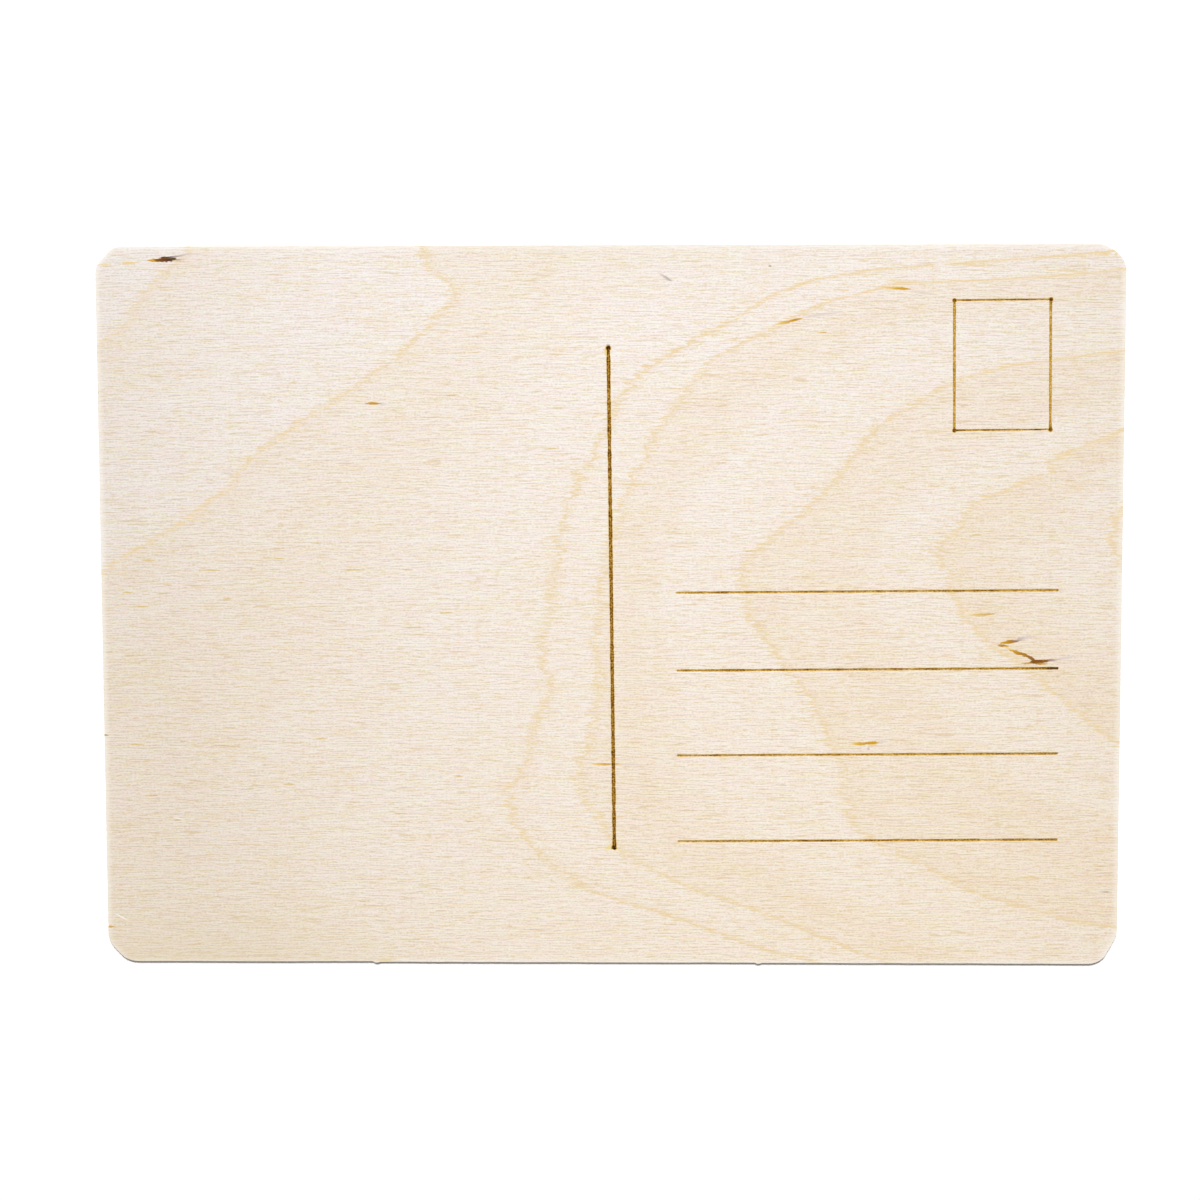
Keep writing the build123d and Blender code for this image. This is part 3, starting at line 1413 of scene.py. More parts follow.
@dataclass(frozen=True)
class EffectKit:
    """The node groups that the veneers' materials share."""

    grain: bpy.types.NodeTree
    rings: bpy.types.NodeTree
    spindle: bpy.types.NodeTree


@dataclass(frozen=True)
class Fleck:
    """A fleck or stain in the wood.

    Attributes:
        start: One end.
        end: The other end.
        half_wide: Half its width.
        tip: Its colour at its start.
        core: Its colour at its end.
        strength: How much of that colour it takes on.
        soft: How softly its edge fades.
    """

    start: Point
    end: Point
    half_wide: float
    tip: Colour
    core: Colour
    strength: float = 0.9
    soft: float = 0.35

    def fringe(self) -> Colour:
        """Gives the colour of its outermost fibres: honey round a resin fleck, else its own."""
        return HONEY if self.tip[2] < HONEY[2] else self.tip


AMBER: Colour = (0.60, 0.315, 0.015)
HONEY: Colour = (0.81, 0.56, 0.13)
RUST: Colour = (0.38, 0.165, 0.010)
UMBER: Colour = (0.22, 0.075, 0.008)
BARK: Colour = (0.050, 0.019, 0.010)
ASH: Colour = (0.43, 0.35, 0.34)
MIST: Colour = (0.70, 0.61, 0.57)
CHALK: Colour = (0.95, 0.90, 0.84)
STAIN: Colour = (0.70, 0.58, 0.36)
SMOKE: Colour = (0.84, 0.64, 0.16)
STRAW: Colour = (0.67, 0.48, 0.15)

# A burn's colours, from the palest scorch to char
BURN_STOPS = (
    (0.0, (0.90, 0.74, 0.42)),
    (0.16, (0.76, 0.54, 0.17)),
    (0.34, (0.50, 0.285, 0.045)),
    (0.52, (0.29, 0.135, 0.009)),
    (0.68, (0.13, 0.052, 0.003)),
    (1.0, (0.016, 0.006, 0.001)),
)


def open_material(
    name: str,
) -> tuple[bpy.types.Material, NodeBoard, bpy.types.Node, bpy.types.NodeSocket]:
    """Opens a new material.

    Args:
        name: Its name.

    Returns:
        The material, a board to fill it from, its shader, and the place on the card in millimetres.
    """
    material = bpy.data.materials.new(name)
    material.use_nodes = True
    board = NodeBoard(material.node_tree)
    spot = board.place("ShaderNodeTexCoord").outputs["Object"]
    place = board.vectors("MULTIPLY", spot, (1 / MM, 1 / MM, 1 / MM))
    return material, board, material.node_tree.nodes["Principled BSDF"], place


def finish_surface(
    board: NodeBoard, shader: bpy.types.Node, colour: Source, gloss: Source, height: Source, bump: Point
) -> None:
    """Feeds a shader.

    Args:
        board: Where its nodes are.
        shader: The shader.
        colour: The colour.
        gloss: The roughness.
        height: The relief.
        bump: How strongly the relief shows, and its depth in millimetres.
    """
    strength, depth = bump
    feeds = {"Height": height, "Strength": strength, "Distance": depth * MM}
    board.feed(shader.inputs["Base Color"], colour)
    board.feed(shader.inputs["Roughness"], gloss)
    board.feed(shader.inputs["Normal"], board.place("ShaderNodeBump", feeds).outputs[0])


@dataclass(frozen=True)
class BirchFinish:
    """Bare birch, sanded and not oiled.

    Attributes:
        pale: Its colour between the fibres.
        tan: Its colour in the dark streaks.
        golden: What its yellow dashes are multiplied by.
        rosy: What its pink dashes are multiplied by.
        pore: The colour of open pores.
        pore_share: How much of that colour a pore takes on.
        ring: The colour of the growth rings' dark lines.
        ring_share: How much of that colour such a line takes on.
        warm: What the newer wood behind a dark line is multiplied by.
        worn: The paler colour that the wood takes on towards its edge.
        worn_share: How much of that colour the rim takes on.
        rim_width: How far in from the edge that paleness reaches.
        dull: Painted shade where the light falls off: what the wood is multiplied by at dull_reach from
            bright_middle, along the card.
        bright_middle: Where along the card the painted light is brightest.
        bright_lean: How far that moves to the left for each step up the card.
        dull_reach: How far from there the painted shade is full.
        mellow: What the wood is multiplied by in the lower right corner; the tint fades upwards.
        mellow_middle: How much of that tint the middle has.
        mellow_lean: How much more it is at the right edge, and at the lower edge.
        size: The veneer's half length and half height.
        flecks: Flecks and stains in the veneer.
        gloss: Its roughness in the dark streaks and between them.
        sheen: How strongly it reflects.
        bump: How strongly its relief shows, and its depth in millimetres.
        pore_relief: How deep pores are in that relief.
        line_relief: How deep the growth rings' dark lines are.
        streak_heat: What a burn is multiplied by in the dark streaks and between them.
        bead_cells: Beads of char.
        bead_heat: What a burn is multiplied by in a bead and between two.
        scorch_heat: The burn from which no clean wood shows through.
        char_heat: The burn at which the wood is black.
        char_rough: How much rougher burnt wood is.
        turn: How far the fibres are turned from X, in degrees.
        shift: Moves the grain, so that no two veneers share it.
        scored: True for the veneer that carries the burnt layout.
        ringed: True for a veneer whose mesh stores growth rings.
    """

    name: str
    pale: Colour = (0.935, 0.896, 0.863)
    tan: Colour = (0.738, 0.695, 0.630)
    streak_ends: Point = (0.26, 0.60)
    golden: Colour = (0.974, 0.944, 0.815)
    rosy: Colour = (1.008, 0.953, 0.982)
    pore: Colour = (0.68, 0.50, 0.25)
    pore_share: float = 0.42
    ring: Colour = (0.800, 0.620, 0.350)
    ring_share: float = 0.94
    warm: Colour = (0.977, 0.938, 0.870)
    worn: Colour = (0.945, 0.905, 0.84)
    worn_share: float = 0.6
    rim_width: float = 1.1
    dull: Colour = (0.898, 0.891, 0.877)
    bright_middle: float = 14.0
    bright_lean: float = 0.18
    dull_reach: float = 82.0
    mellow: Colour = (0.990, 0.933, 0.820)
    mellow_middle: float = 0.5
    mellow_lean: Point = (0.16, 0.34)
    size: Point = (74.0, 52.5)
    flecks: tuple[Fleck, ...] = ()
    fringe_ends: Point = (0.1, 0.8)
    gloss: Point = (0.80, 0.52)
    sheen: float = 0.12
    bump: Point = (0.35, 0.03)
    pore_relief: float = 0.45
    line_relief: float = 0.15
    streak_heat: Point = (1.30, 0.70)
    bead_cells: Colour = (4.0, 5.0, 5.0)
    bead_ends: Point = (0.32, 0.68)
    bead_heat: Point = (1.28, 0.72)
    scorch_heat: float = 0.42
    char_heat: float = 1.6
    char_rough: float = 0.14
    turn: float = 0.0
    shift: Colour = (0.0, 0.0, 0.0)
    scored: bool = False
    ringed: bool = True

    def wood(self, board: NodeBoard, kit: EffectKit, place: Source) -> tuple[Source, Source, Source, Source]:
        """Places the nodes of the wood itself.

        Args:
            board: Where they go.
            kit: The shared effects.
            place: Where on the veneer, in millimetres.

        Returns:
            The wood's colour, its streaks, its pores, and the mask of its dark ring lines, or of its pores
            again where it has no rings.
        """
        moved = board.vectors("ADD", place, self.shift)
        feeds: Feeds = {"Vector": moved, "Angle": math.radians(self.turn)}
        turned = board.place("ShaderNodeVectorRotate", feeds, rotation_type="Z_AXIS").outputs[0]
        grain = board.use(kit.grain, {"Place": turned})
        streaks, pores = grain["Streaks"], grain["Vessels"]
        colour = board.mixed(board.eased(streaks, *self.streak_ends), self.tan, self.pale)
        colour = board.mixed(grain["Golden"], colour, self.golden, "MULTIPLY")
        colour = board.mixed(grain["Rosy"], colour, self.rosy, "MULTIPLY")
        colour = board.laid(pores, self.pore_share, colour, self.pore)
        if not self.ringed:
            return colour, streaks, pores, pores
        colour = self.toned(board, place, colour)
        feeds = {name.title(): board.stored(f"ring_{name}") for name in RING_VALUES}
        rings = board.use(kit.rings, feeds | {"Streaks": streaks, "Place": turned})
        colour = board.mixed(rings["Tone"], colour, self.warm, "MULTIPLY")
        colour = board.laid(rings["Line"], self.ring_share, colour, self.ring)
        return colour, streaks, pores, rings["Line"]

    def toned(self, board: NodeBoard, place: Source, colour: Source) -> Source:
        """Paints shade where the light falls off towards the veneer's sides, tints the wood warmer towards
        its lower right, and makes it paler towards its edge.

        Args:
            board: Where the nodes go.
            place: Where on the veneer, in millimetres.
            colour: The wood's colour.

        Returns:
            The toned colour.
        """
        spot = board.place("ShaderNodeSeparateXYZ", {0: place}).outputs
        # Painted shade: the wood darkens away from bright_middle, most to the left, where the light falls off
        leant = board.maths("MULTIPLY_ADD", spot["Y"], self.bright_lean, spot["X"])
        aside = board.maths("DIVIDE", board.maths("SUBTRACT", leant, self.bright_middle), self.dull_reach)
        colour = board.mixed(board.maths("MULTIPLY", aside, aside), colour, self.dull, "MULTIPLY")
        per_x, per_y = (lean / half for lean, half in zip(self.mellow_lean, self.size))
        down = board.maths("MULTIPLY_ADD", spot["Y"], -per_y, self.mellow_middle)
        down = board.maths("MULTIPLY_ADD", spot["X"], per_x, down)
        colour = board.mixed(down, colour, self.mellow, "MULTIPLY")
        # The wood turns paler within rim_width of the edge
        near_edge = board.eased(board.stored("rim"), self.rim_width, 0.0)
        return board.laid(near_edge, self.worn_share, colour, self.worn)

    def marked(
        self, board: NodeBoard, kit: EffectKit, place: Source, streaks: Source, colour: Source
    ) -> Source:
        """Lays the flecks and stains over the wood.

        Args:
            board: Where the nodes go.
            kit: The shared effects.
            place: Where on the veneer, in millimetres.
            streaks: The wood's streaks.
            colour: The wood's colour.

        Returns:
            The marked colour.
        """
        for fleck in self.flecks:
            start, end = Vector(fleck.start), Vector(fleck.end)
            half = (end - start) / 2
            middle, along = (start + end) / 2, half / half.length_squared
            across = half.orthogonal().normalized() / fleck.half_wide
            feeds: Feeds = {"Place": place, "Soft": fleck.soft, "Streaks": streaks}
            for name, way in (("Centre", middle), ("Along", along), ("Across", across)):
                feeds[name] = (*way, 0.0)
            spot = board.use(kit.spindle, feeds)
            tone = fleck.tip
            if fleck.core != fleck.tip:
                tone = board.mixed(spot["Share"], fleck.tip, fleck.core)
            if fleck.fringe() != tone:
                tone = board.mixed(board.eased(spot["Mask"], *self.fringe_ends), fleck.fringe(), tone)
            colour = board.laid(spot["Mask"], fleck.strength, colour, tone)
        return colour

    def burnt(
        self, board: NodeBoard, place: Source, streaks: Source, colour: Source
    ) -> tuple[Source, Source]:
        """Burns the scored layout into the wood.

        Args:
            board: Where the nodes go.
            place: Where on the veneer, in millimetres.
            streaks: The wood's streaks.
            colour: The wood's colour.

        Returns:
            The burnt colour, and the burn from 0 to 1.
        """
        heat = board.maths("MULTIPLY", board.stored("burn"), board.scaled(streaks, *self.streak_heat))
        beads = board.eased(board.noise(place, self.bead_cells, 1.0), *self.bead_ends)
        heat = board.maths("MULTIPLY", heat, board.scaled(beads, *self.bead_heat))
        ramp = board.place("ShaderNodeValToRGB", {"Fac": board.maths("MULTIPLY", heat, 1 / self.char_heat)})
        strip = ramp.color_ramp
        while len(strip.elements) < len(BURN_STOPS):
            strip.elements.new(0.5)
        for element, (at, tone) in zip(strip.elements, BURN_STOPS):
            element.position = at
            element.color = (*tone, 1.0)
        cover = board.eased(heat, 0.0, self.scorch_heat)
        return board.mixed(cover, colour, ramp.outputs[0]), cover

    def make(self, kit: EffectKit) -> bpy.types.Material:
        """Makes the material.

        Args:
            kit: The shared effects.

        Returns:
            The material.
        """
        material, board, shader, place = open_material(self.name)
        colour, streaks, pores, lines = self.wood(board, kit, place)
        colour = self.marked(board, kit, place, streaks, colour)
        relief = board.maths("SUBTRACT", streaks, board.maths("MULTIPLY", pores, self.pore_relief))
        relief = board.maths("SUBTRACT", relief, board.maths("MULTIPLY", lines, self.line_relief))
        gloss = board.scaled(streaks, *self.gloss)
        if self.scored:
            colour, char = self.burnt(board, place, streaks, colour)
            gloss = board.maths("MULTIPLY_ADD", char, self.char_rough, gloss)
        shader.inputs["Specular IOR Level"].default_value = self.sheen
        finish_surface(board, shader, colour, gloss, relief, self.bump)
        return material


@dataclass(frozen=True)
class GlueFinish:
    """Dried wood glue that has soaked into the fibres next to it.

    Attributes:
        amber: Its colour.
        dark: Its colour where it is thick.
        gloss: Its roughness there, and elsewhere.
        bump: How strongly its relief shows, and its depth in millimetres.
    """

    name: str = "wood_glue"
    amber: Colour = (0.46, 0.27, 0.11)
    dark: Colour = (0.27, 0.145, 0.055)
    lump_cells: Colour = (1.1, 1.1, 4.0)
    lump_ends: Point = (0.35, 0.65)
    gloss: Point = (0.32, 0.68)
    bump: Point = (0.4, 0.02)

    def make(self) -> bpy.types.Material:
        """Makes the material.

        Returns:
            The material.
        """
        material, board, shader, place = open_material(self.name)
        lumps = board.noise(place, self.lump_cells, detail=3.0, rough=0.6)
        colour = board.mixed(board.eased(lumps, *self.lump_ends), self.dark, self.amber)
        finish_surface(board, shader, colour, board.scaled(lumps, *self.gloss), lumps, self.bump)
        return material


@dataclass
class Layer:
    """One layer of the card: a veneer or a glue line.

    Attributes:
        name: The piece's name.
        node: The solid that it stands for.
        slot: The record's material slot; not used.
        finish: The name of its finish.
        outline: The card's outline.
        fray: How its edge has broken back.
        fibres: The way that its fibres run.
        shows: The side that shows.
        seed: Seed of its edge's random draws.
        figure: The growth rings on it.
        layout: The layout scored into it.
        grid: Distance between the mesh's points on the side that shows.
        margin: How far such points stay from the edge and from the scored lines.
        skin: How far above the lower side the burn ends.
    """

    name: str
    node: str
    slot: str
    finish: str
    outline: CardOutline
    fray: Fray
    fibres: Fibres
    shows: Shows
    seed: int
    figure: RingFigure | None = None
    layout: ScoredLayout | None = None
    grid: float = 1.4
    margin: float = 0.9
    skin: float = 0.01

    def heights(self) -> tuple[float, float]:
        """Gives the heights of the solid's lower and upper sides."""
        low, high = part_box(self.node)
        return low[2] / MM, high[2] / MM

    def wall(self, walk: Walk) -> list[tuple[np.ndarray, float]]:
        """Draws the loops of the layer's wall.

        Args:
            walk: The walk round the card's edge.

        Returns:
            The loops from the bottom up, with their heights.
        """
        low, high = self.heights()
        losses = [self.fray.losses(walk, self.fibres, self.seed + step) for step in range(3)]
        outer = walk.drawn_in(losses[0])
        middle, inner = (walk.drawn_in((losses[0] + loss) / 2) for loss in losses[1:])
        if self.shows is Shows.EDGE:
            return [(inner, low), (middle, (low + high) / 2), (outer, high)]
        rim = walk.drawn_in(losses[0] + self.fray.arris)
        drop = self.fray.arris
        if self.shows is Shows.FACE:
            return [(inner, low), (middle, (low + high) / 2), (outer, high - drop), (rim, high)]
        return [(rim, low), (outer, low + drop), (middle, (low + high) / 2), (inner, high)]

    def grid_points(self, walk: Walk) -> np.ndarray:
        """Lists the mesh's points inside the side that shows.

        Args:
            walk: The walk round the card's edge.

        Returns:
            The points.
        """
        across = np.arange(-self.outline.half_length, self.outline.half_length, self.grid)
        up = np.arange(-self.outline.half_height, self.outline.half_height, self.grid)
        mesh = np.array(np.meshgrid(across, up)).reshape(2, -1).T
        mesh[:, 0] += 0.5 * self.grid * (np.round(mesh[:, 1] / self.grid) % 2)
        mesh = mesh[inside(walk.drawn_in(self.margin), mesh)]
        if self.layout is None:
            return mesh
        return np.vstack((mesh[self.layout.clearance(mesh) > self.margin], self.layout.mesh_points()))

    def build(self) -> bpy.types.Object:
        """Builds the layer and stores what its material reads.

        Returns:
            The layer's object.
        """
        walk = self.outline.walk(self.fibres)
        loops = self.wall(walk)
        nothing = np.empty((0, 2))
        points = nothing if self.shows is Shows.EDGE else self.grid_points(walk)
        top = cut_cap(loops[-1][0], points if self.shows is Shows.FACE else nothing)
        bottom = cut_cap(loops[0][0], points if self.shows is Shows.BACK else nothing)
        sunk = np.zeros(len(top.points))
        if self.layout is not None:
            sunk = self.layout.scored(top.points)[0]
        item = LayerMesh(loops, top, bottom, sunk, self.shows).make(self.name)
        spots = places(item)
        if self.figure is not None:
            reading = self.figure.read(spots[:, :2])
            for name in RING_VALUES:
                store(item, f"ring_{name}", getattr(reading, name))
            store(item, "rim", self.outline.clearance(spots[:, :2]))
        if self.layout is not None:
            burn = self.layout.scored(spots[:, :2])[1]
            store(item, "burn", np.where(spots[:, 2] > self.heights()[0] + self.skin, burn, 0.0))
        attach(item, ROOT)
        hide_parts(self.node)
        return item

    def dress(self, item: bpy.types.Object, material: bpy.types.Material) -> None:
        """Gives the layer its material."""
        item.data.materials.append(material)


LEFT, BOTTOM, RIGHT, TOP = CardSide

FACE_RINGS = RingFigure(
    (
        GrowthRing(
            ((-58, 55), (-62, 51), (-66.5, 46.5), (-70, 41.5), (-77, 35)),
            TOP, LEFT, line=0.5, tone=0.3, holds=0.3, fades=0.6, rest=0.0, flare=1.0,
        ),
        GrowthRing(
            (
                (-29, 55), (-25.5, 49), (-22.4, 45.9), (-24.6, 42), (-31.2, 36.4), (-41, 29.6), (-51, 22.8),
                (-57, 16.2), (-65, 11), (-77, 3.2),
            ),
            TOP, LEFT, line=0.9, tone=0.48, holds=0.42, fades=0.7, rest=0.0, flare=0.26,
        ),
        GrowthRing(
            (
                (80, 52), (53, 50), (36.5, 48.7), (30, 47.5), (25, 46.1), (21.4, 44.2), (17.7, 41.8),
                (10.8, 38.2), (3, 32.4), (-3, 21.5), (-6.9, 12.9), (-8.6, 1.7), (-10.5, -6.5), (-8.5, -11.4),
                (-9.9, -14.5), (-11.7, -18.5), (-12.2, -22), (-14.8, -27), (-14.2, -30.2), (-11.5, -35),
                (-4, -41), (10, -45.7), (20.7, -49.7), (27.7, -51.5), (38, -54.5),
            ),
            RIGHT, BOTTOM, tone=0.45, holds=0.08, fades=0.32, rest=0.0,
        ),
        GrowthRing(
            (
                (80, 49.5), (60.8, 47.7), (42.7, 46.9), (36.5, 45.6), (29.3, 43.6), (23, 40.2), (15.4, 36.3),
                (8.4, 28), (3.4, 18.7), (-1, 6.3), (-1.4, -1.7), (-2.8, -4.8), (-1.2, -9.8), (-2.8, -15.5),
                (-3, -20), (-5, -25.5), (-2.2, -30.5), (5.2, -38.3), (21.5, -44.5), (37.9, -51.2), (46, -55),
            ),
            RIGHT, BOTTOM, line=0.9, tone=0.64, holds=0.28, fades=0.52, rest=0.05,
        ),
        GrowthRing(
            (
                (80, 38), (65.5, 36.3), (53.4, 34.1), (44, 29.9), (36.3, 24.2), (31, 16.8), (21, 8),
                (19.2, 5.2), (20, 0.5), (24.8, -7.2), (31.7, -17.9), (34.3, -28.3), (38.5, -34.2),
                (54, -41.8), (65.7, -45.4), (80, -48),
            ),
            RIGHT, RIGHT, line=0.9, tone=0.68, holds=0.48, fades=0.68, rest=0.0, flare=0.32,
        ),
        GrowthRing(
            (
                (80, 28.5), (73.7, 25.8), (68.4, 23.5), (64.1, 21.7), (63.1, 19.9), (58, 17.8), (53, 15.5),
                (50.3, 12), (46.5, 8.1), (48, 5.9), (49.3, 3), (52.4, -2.2), (54.7, -4.7), (63.3, -11.3),
                (66.7, -14.2), (73, -19.6), (80, -25),
            ),
            RIGHT, RIGHT, tone=0.80, holds=0.16, fades=0.72, rest=0.05, flare=0.28,
        ),
        GrowthRing(
            ((78, 18), (73.6, 14.6), (72, 10.7), (73.4, 6.2), (78, 2)), RIGHT, RIGHT, tone=0.8, rest=1.0
        ),
    )
)

BACK_RINGS = RingFigure(
    (
        GrowthRing(((30, 56), (12, 41), (-20, 33), (-56, 30), (-80, 31)), TOP, LEFT, 0.7, 0.6),
        GrowthRing(((62, 56), (44, 30), (14, 18), (-30, 12), (-80, 15)), TOP, LEFT),
        GrowthRing(((80, 42), (58, 20), (30, 7), (-10, 1), (-80, 2)), RIGHT, LEFT, 0.8, 0.3),
        GrowthRing(((80, 12), (52, -2), (14, -11), (-34, -14), (-80, -11)), RIGHT, LEFT),
        GrowthRing(((80, -14), (46, -23), (6, -29), (-44, -30), (-80, -26)), RIGHT, LEFT, 0.7, 0.7),
        GrowthRing(((80, -37), (40, -42), (0, -46), (-46, -47), (-80, -43)), RIGHT, LEFT, 0.8, 0.5),
    )
)

# Hairs of grain that stand out on the face: the middle of each, and its length
FACE_HAIRS = (
    (-67.0, 7.1, 2.2), (-58.0, 5.65, 3.6), (-64.2, 3.5, 1.8), (-65.0, 2.2, 1.8), (-70.2, 2.4, 1.4),
    (-48.0, 7.35, 1.8), (-42.4, 9.6, 2.0), (-55.6, 1.5, 1.6), (-68.0, 0.35, 2.2), (-69.2, -19.95, 2.4),
    (-56.8, -20.1, 2.4), (-47.0, -25.8, 2.2), (-62.4, -19.5, 1.2), (-42.2, -19.05, 2.0), (-8.3, 23.25, 2.2),
    (-22.6, 31.0, 2.0), (-28.6, -2.7, 3.2), (-37.2, 5.7, 3.4), (-29.4, 5.7, 1.8), (-24.0, -0.6, 2.4),
    (-22.2, -24.6, 1.6), (-30.6, -30.15, 2.0), (-20.7, -31.3, 1.4), (20.2, 8.4, 2.0), (53.0, 10.75, 1.6),
)
FACE_FLECKS = tuple(
    Fleck((x - long / 2, y), (x + long / 2, y), 0.09, STRAW, STRAW, strength=0.85, soft=0.6)
    for x, y, long in FACE_HAIRS
) + (
    Fleck((-92.0, -54.0), (-24.0, -56.0), 9.0, STAIN, STAIN, 0.28, 0.9),
    Fleck((-34.0, 55.0), (36.0, 55.0), 8.0, STAIN, STAIN, 0.13, 0.9),
    Fleck((-73.6, 49.8), (-71.6, 49.9), 0.24, HONEY, HONEY, 0.5, 0.6),
    Fleck((-70.4, 50.0), (-67.8, 50.15), 0.16, HONEY, HONEY, 0.75, 0.5),
    Fleck((-66.4, 50.45), (-64.2, 50.45), 0.24, AMBER, AMBER, 0.95, 0.3),
    Fleck((-65.6, 50.5), (-61.9, 50.7), 0.36, UMBER, BARK, 1.0, 0.25),
    Fleck((-64.0, 50.75), (-61.4, 51.1), 0.16, BARK, ASH, 0.9, 0.35),
    Fleck((-62.4, 50.95), (-59.8, 51.5), 0.14, ASH, MIST, 0.8, 0.5),
    Fleck((-63.0, 50.5), (-60.2, 50.65), 0.13, UMBER, MIST, 0.75, 0.5),
    Fleck((-35.4, 29.9), (-32.9, 29.8), 0.19, AMBER, AMBER),
    Fleck((-34.9, 29.9), (-33.1, 29.8), 0.11, RUST, RUST, 0.45, 0.5),
    Fleck((-33.4, 29.8), (-31.8, 29.7), 0.16, ASH, MIST, 0.5, 0.6),
    Fleck((23.8, 41.05), (27.0, 41.7), 0.22, HONEY, AMBER, 0.9, 0.5),
    Fleck((25.6, 41.5), (28.0, 41.95), 0.18, AMBER, AMBER, 0.95),
    Fleck((26.2, 41.65), (27.3, 41.85), 0.11, RUST, RUST, 0.5, 0.5),
    Fleck((27.6, 42.0), (33.6, 42.9), 0.20, MIST, MIST, 0.75, 0.6),
    Fleck((29.6, 39.8), (31.5, 39.95), 0.10, HONEY, AMBER, 0.8, 0.5),
    Fleck((39.2, 46.35), (43.6, 46.0), 0.24, HONEY, AMBER, 0.9, 0.4),
    Fleck((40.8, 46.15), (43.2, 46.05), 0.14, AMBER, AMBER, 0.8),
    Fleck((42.9, 45.95), (46.8, 45.3), 0.22, MIST, MIST, 0.5, 0.7),
    Fleck((51.5, -1.0), (55.9, -0.7), 0.21, HONEY, AMBER, 0.75, 0.5),
    Fleck((56.4, -5.0), (59.4, -4.62), 0.28, AMBER, RUST, 1.0),
    Fleck((58.4, -4.6), (61.2, -4.05), 0.20, ASH, MIST, 0.9, 0.6),
    Fleck((56.0, -5.3), (57.7, -5.45), 0.20, AMBER, RUST, 1.0, 0.4),
    Fleck((57.0, -5.4), (58.6, -6.2), 0.18, HONEY, HONEY, 0.7, 0.5),
    Fleck((57.9, -6.0), (60.8, -6.95), 0.28, AMBER, RUST, 1.0),
    Fleck((60.0, -6.6), (61.8, -7.65), 0.24, RUST, UMBER, 0.95, 0.3),
    Fleck((59.5, -7.95), (62.2, -7.85), 0.15, AMBER, AMBER, 0.9, 0.4),
    Fleck((60.6, -7.75), (63.8, -7.62), 0.30, UMBER, UMBER, 1.0, 0.25),
    Fleck((61.4, -7.98), (63.4, -7.98), 0.16, RUST, AMBER, 0.85, 0.4),
    Fleck((62.8, -7.55), (65.2, -7.35), 0.20, UMBER, ASH, 0.85, 0.5),
    Fleck((64.4, -7.35), (67.2, -6.95), 0.18, MIST, MIST, 0.9, 0.6),
    Fleck((34.9, -19.75), (37.6, -19.75), 0.24, HONEY, AMBER, 1.0, 0.4),
    Fleck((36.6, -19.65), (39.4, -19.55), 0.21, AMBER, AMBER, 1.0, 0.4),
    Fleck((37.2, -19.9), (39.2, -19.9), 0.12, HONEY, HONEY, 0.7, 0.5),
    Fleck((38.9, -19.55), (40.4, -19.4), 0.15, MIST, MIST, 0.75, 0.6),
    Fleck((37.2, -20.45), (37.8, -20.45), 0.16, MIST, ASH, 0.6),
    Fleck((-2.7, -22.8), (0.4, -22.8), 0.22, HONEY, AMBER, 0.85, 0.5),
    Fleck((0.1, -22.8), (1.9, -22.8), 0.18, RUST, HONEY, 0.7, 0.5),
    Fleck((1.2, -22.8), (4.7, -22.9), 0.14, MIST, MIST, 0.6, 0.6),
    Fleck((7.0, 48.6), (9.1, 47.2), 0.17, MIST, ASH, 0.8),
    Fleck((7.9, 47.5), (9.2, 47.4), 0.14, MIST, ASH, 0.8, 0.5),
    Fleck((22.8, 49.4), (23.4, 49.4), 0.15, ASH, RUST, 0.7),
    Fleck((14.6, 21.1), (17.2, 21.2), 0.09, HONEY, AMBER, 0.4, 0.5),
    Fleck((59.8, -39.4), (62.2, -39.35), 0.15, HONEY, HONEY, 0.4, 0.5),
    Fleck((-34.8, -51.95), (-31.4, -51.9), 0.14, HONEY, HONEY, 0.5, 0.6),
    Fleck((-68.5, -27.55), (-66.2, -27.5), 0.16, HONEY, AMBER, 0.5, 0.5),
    Fleck((-72.9, -45.1), (-70.9, -46.2), 0.11, CHALK, CHALK, 0.8, 0.5),
    Fleck((-74.2, -47.1), (-73.0, -47.05), 0.17, AMBER, AMBER, 0.8, 0.5),
    # Painted highlight: a pale glint on the upper edge of a small nick, whose brown lies just below
    Fleck((-64.1, -30.7), (-62.4, -31.1), 0.09, CHALK, CHALK, 0.7, 0.5),
    Fleck((-64.1, -31.1), (-62.9, -31.2), 0.12, AMBER, RUST, 0.5, 0.5),
    Fleck((71.2, -41.5), (72.9, -41.5), 0.17, MIST, ASH, 0.7, 0.5),
    Fleck((-74.2, -18.6), (-73.3, -18.6), 0.12, RUST, RUST, 0.8),
    Fleck((-0.52, 37.9), (-0.42, 36.4), 0.17, SMOKE, SMOKE, 0.85, 0.7),
    Fleck((-0.9, -35.3), (0.5, -34.9), 0.30, SMOKE, SMOKE, 0.75, 0.7),
)

BACK_FLECKS = (
    Fleck((-40.2, 20.8), (-36.0, 21.2), 0.28, AMBER, RUST),
    Fleck((-36.6, 21.1), (-32.4, 21.7), 0.20, ASH, MIST, 0.65, 0.6),
    Fleck((19.0, -17.3), (22.8, -17.8), 0.24, HONEY, UMBER, 0.8, 0.5),
    Fleck((44.6, 32.8), (49.4, 33.2), 0.24, HONEY, RUST, 0.75, 0.5),
    Fleck((-12.0, -37.0), (-9.2, -36.8), 0.16, AMBER, RUST, 0.7, 0.5),
)


